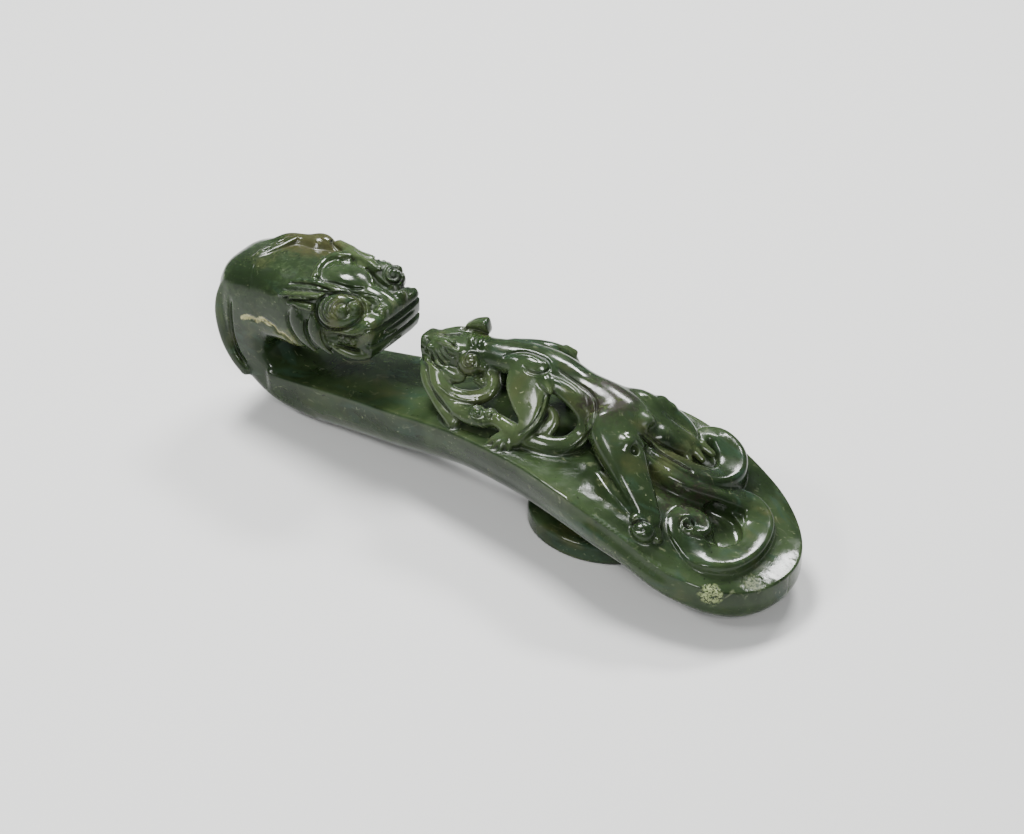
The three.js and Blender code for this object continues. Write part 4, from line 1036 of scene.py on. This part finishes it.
class Nodes:
    """Short ways to make the nodes of one material. Positions in it are millimetres."""

    def __init__(self, name):
        self.material = bpy.data.materials.new(name)
        self.material.use_nodes = True
        self.tree = self.material.node_tree
        self.shader = self.tree.nodes["Principled BSDF"]
        scaled = self.node("ShaderNodeVectorMath", operation="SCALE")
        self.tree.links.new(self.node("ShaderNodeTexCoord").outputs["Object"], scaled.inputs[0])
        scaled.inputs["Scale"].default_value = 1 / MM
        self.place = scaled.outputs[0]

    def node(self, kind, **settings):
        made = self.tree.nodes.new(kind)
        for name, value in settings.items():
            setattr(made, name, value)
        return made

    def put(self, socket, value):
        if isinstance(value, bpy.types.NodeSocket):
            self.tree.links.new(value, socket)
        else:
            socket.default_value = value

    def noise(self, scale, detail=3.0, distortion=0.0, stretch=(1, 1, 1), shift=(0, 0, 0)):
        mapping = self.node("ShaderNodeMapping")
        mapping.inputs["Scale"].default_value = stretch
        mapping.inputs["Location"].default_value = shift
        self.put(mapping.inputs["Vector"], self.place)
        made = self.node("ShaderNodeTexNoise")
        self.put(made.inputs["Vector"], mapping.outputs[0])
        made.inputs["Scale"].default_value = scale
        made.inputs["Detail"].default_value = detail
        made.inputs["Distortion"].default_value = distortion
        return made.outputs["Fac"]

    def ramp(self, value, low, high, top=1.0):
        """0 below `low`, `top` above `high`, smooth between. Falls instead where low is above high."""
        made = self.node("ShaderNodeMapRange", interpolation_type="SMOOTHSTEP")
        self.put(made.inputs["Value"], value)
        if low > high:
            low, high, start, end = high, low, top, 0.0
        else:
            start, end = 0.0, top
        for name, number in (("From Min", low), ("From Max", high), ("To Min", start), ("To Max", end)):
            made.inputs[name].default_value = number
        return made.outputs["Result"]

    def combine(self, kind, a, b):
        made = self.node("ShaderNodeMath", operation=kind)
        self.put(made.inputs[0], a)
        self.put(made.inputs[1], b)
        return made.outputs[0]

    def times(self, a, b):
        return self.combine("MULTIPLY", a, b)

    def plus(self, a, b):
        return self.combine("ADD", a, b)

    def mix(self, factor, a, b):
        made = self.node("ShaderNodeMix", data_type="RGBA")
        self.put(made.inputs["Factor"], factor)
        self.put(made.inputs[6], a)
        self.put(made.inputs[7], b)
        return made.outputs[2]

    def near(self, centre, radius):
        """1 near a point, fading to 0 at about the radius with a ragged edge."""
        gap = self.node("ShaderNodeVectorMath", operation="DISTANCE")
        self.put(gap.inputs[0], self.place)
        gap.inputs[1].default_value = centre
        rough = self.times(self.noise(0.9, 3.0), radius)
        return self.ramp(self.plus(gap.outputs["Value"], rough), 1.65 * radius, 1.05 * radius)

    def attribute(self, name):
        return self.node("ShaderNodeAttribute", attribute_name=name).outputs["Fac"]


def jade():
    nodes = Nodes("jade")
    clouds = nodes.noise(0.085, 4.0, 0.8, (0.7, 1, 1))
    colour = nodes.mix(nodes.ramp(clouds, 0.38, 0.64), DEEP_GREEN, MID_GREEN)
    veils = nodes.noise(0.16, 5.0, 1.4, (0.5, 1.2, 1.2), (7, 3, 1))
    colour = nodes.mix(nodes.ramp(veils, 0.54, 0.70, 0.65), colour, SEA_GREEN)
    olive = nodes.noise(0.11, 4.0, 1.0, (1, 1, 1), (31, 5, 2))
    colour = nodes.mix(nodes.ramp(olive, 0.54, 0.74, 0.6), colour, OLIVE)
    wisps = nodes.noise(0.42, 6.0, 2.0, (0.6, 1, 1), (3, 9, 4))
    colour = nodes.mix(nodes.ramp(wisps, 0.60, 0.78, 0.35), colour, PALE_SPECK)
    # painted glow of light passing through thin jade, in the paler clouds
    thin = nodes.attribute("thin")
    glow = nodes.times(nodes.ramp(thin, 0.05, 0.9, 0.8), nodes.ramp(clouds, 0.2, 0.7))
    colour = nodes.mix(glow, colour, THIN_GLOW_GREEN)

    # specks, in swarms
    swarm = nodes.ramp(nodes.noise(0.07, 2.0, 0.0, (1, 1, 1), (11, 2, 8)), 0.46, 0.62)
    specks = nodes.ramp(nodes.noise(1.5, 3.0, 0.5), 0.66, 0.74, 0.75)
    colour = nodes.mix(nodes.times(swarm, specks), colour, PALE_SPECK)
    dots = nodes.ramp(nodes.noise(1.1, 2.0, 0.3, (1, 1, 1), (5, 40, 9)), 0.70, 0.76, 0.8)
    colour = nodes.mix(dots, colour, DARK_SPOT_AND_SHADE)

    # inclusions and stains where the photograph has them, a painted glow on the mane ridge and a painted
    # shadow on the shaft
    mottle = nodes.noise(0.9, 5.0, 1.0, (1, 1, 1), (2, 2, 17))
    dark = nodes.times(nodes.near(CLOUD_AT, 5.5), nodes.ramp(mottle, 0.32, 0.56, 0.95))
    colour = nodes.mix(dark, colour, DARK_CLOUD_AND_SHADOW)
    mane = nodes.times(nodes.near(MANE_AT, 12.0), nodes.ramp(mottle, 0.25, 0.6, 0.8))
    colour = nodes.mix(mane, colour, DEEP_GREEN)
    # brownish stain with a painted glow of light through the thin mane ridge
    stain_and_glow = nodes.near(STAIN_AND_GLOW_AT, 6.0)
    colour = nodes.mix(nodes.times(stain_and_glow, 0.6), colour, STAIN_AND_GLOW)
    # painted shadow on the shaft's top, between the near hind leg and the tail
    shadow = nodes.times(nodes.near(SHADOW_AT, 6.0), nodes.ramp(mottle, 0.4, 0.62, 0.8))
    colour = nodes.mix(shadow, colour, DARK_CLOUD_AND_SHADOW)
    flakes = nodes.ramp(nodes.noise(2.4, 4.0, 0.6, (1, 1, 1), (4, 1, 6)), 0.40, 0.56, 0.95)
    chalk = nodes.times(nodes.near(CHALK_AT, 2.0), flakes)
    colour = nodes.mix(chalk, colour, CHALK)
    chip = nodes.near(CHIP_AT, 2.0)
    colour = nodes.mix(nodes.times(chip, nodes.ramp(flakes, 0.1, 0.9, 0.45)), colour, PALE_SPECK)
    moss = nodes.times(nodes.near(MOSS_AT, 3.0), nodes.ramp(mottle, 0.3, 0.6, 0.75))
    colour = nodes.mix(moss, colour, MOSS)
    ragged = nodes.times(nodes.noise(1.5, 4.0, 0.8), 0.95)
    fissure = nodes.ramp(nodes.combine("SUBTRACT", nodes.attribute("fissure"), ragged), 0.0, 0.3)
    colour = nodes.mix(fissure, colour, FISSURE_COLOUR)

    # painted shade: the lines and creases are darkened
    crease = nodes.attribute("crease")
    colour = nodes.mix(nodes.ramp(crease, 0.15, 0.8, 0.5), colour, DARK_SPOT_AND_SHADE)

    wear = nodes.noise(0.35, 4.0)
    rough = nodes.plus(nodes.ramp(wear, 0.35, 0.75, 0.14), 0.1)
    rough = nodes.plus(rough, nodes.ramp(crease, 0.08, 0.5, 0.25))
    rough = nodes.plus(rough, nodes.times(nodes.combine("MAXIMUM", chip, chalk), 0.35))
    rough = nodes.plus(rough, nodes.times(dark, 0.12))
    height = nodes.times(nodes.noise(0.22, 2.0), 0.1)
    height = nodes.plus(height, nodes.times(nodes.noise(1.3, 3.0), 0.014))
    height = nodes.plus(height, nodes.times(specks, -0.006))
    pits = nodes.times(nodes.combine("MAXIMUM", chip, chalk), nodes.times(mottle, -0.3))
    height = nodes.plus(height, pits)
    bump = nodes.node("ShaderNodeBump")
    bump.inputs["Distance"].default_value = MM
    nodes.put(bump.inputs["Height"], height)

    shader = nodes.shader
    nodes.put(shader.inputs["Base Color"], colour)
    nodes.put(shader.inputs["Roughness"], rough)
    nodes.put(shader.inputs["Normal"], bump.outputs[0])
    shader.inputs["IOR"].default_value = 1.61
    shader.inputs["Specular IOR Level"].default_value = 0.19
    shader.inputs["Subsurface Weight"].default_value = 0.3
    shader.inputs["Subsurface Radius"].default_value = (0.7, 1.0, 0.45)
    shader.inputs["Subsurface Scale"].default_value = 0.0012
    return nodes.material


# Floor, light and camera

FLOOR_COLOUR = (0.5, 0.5, 0.49, 1)
SKY_COLOUR = (0.8, 0.85, 0.9, 1)
SKY_STRENGTH = 0.32
MIDDLE = (-0.02, 0, 0.01)
# Name, place, point aimed at, width, height, power
LIGHTS = (
    ("key", (-0.25, 0.1, 0.5), MIDDLE, 0.16, 0.16, 6.5),
    ("fill", (0.3, -0.35, 0.35), MIDDLE, 0.12, 0.12, 2.6),
    ("edge", (-0.17, -0.31, 0.36), MIDDLE, 0.16, 0.07, 1.4),
    ("rim", (-0.085, 0.36, 0.4), (0.03, 0, 0.01), 0.17, 0.08, 3.2),
)


def floor():
    bpy.ops.mesh.primitive_plane_add(size=4, location=(0, 0, 0))
    made = bpy.context.object
    made.name = "floor"
    material = bpy.data.materials.new("floor")
    material.use_nodes = True
    shader = material.node_tree.nodes["Principled BSDF"]
    shader.inputs["Base Color"].default_value = FLOOR_COLOUR
    shader.inputs["Roughness"].default_value = 0.6
    made.data.materials.append(material)


def area_light(name, place, aim, width, height, power):
    light = bpy.data.lights.new(name, "AREA")
    light.shape = "RECTANGLE"
    light.size, light.size_y = width, height
    light.energy = power
    made = bpy.data.objects.new(name, light)
    made.location = place
    made.rotation_euler = (Vector(aim) - Vector(place)).to_track_quat("-Z", "Y").to_euler()
    bpy.context.scene.collection.objects.link(made)


def studio():
    world = bpy.data.worlds.new("studio")
    world.use_nodes = True
    background = world.node_tree.nodes["Background"]
    background.inputs["Color"].default_value = SKY_COLOUR
    background.inputs["Strength"].default_value = SKY_STRENGTH
    bpy.context.scene.world = world
    for light in LIGHTS:
        area_light(*light)


def camera():
    data = bpy.data.cameras.new("camera")
    data.lens = CAMERA_LENS
    data.sensor_width = CAMERA_SENSOR
    data.clip_start, data.clip_end = 0.01, 10
    made = bpy.data.objects.new("camera", data)
    back = Vector(VIEW)
    made.location = CAMERA_TARGET + CAMERA_DISTANCE * back
    made.rotation_euler = (-back).to_track_quat("-Z", "Y").to_euler()
    bpy.context.scene.collection.objects.link(made)
    bpy.context.scene.camera = made


camera()
studio()
floor()
piece = carving()
piece.data.materials.append(jade())
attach(piece, "root")
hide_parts("belt_hook")

bpy.context.view_layer.update()
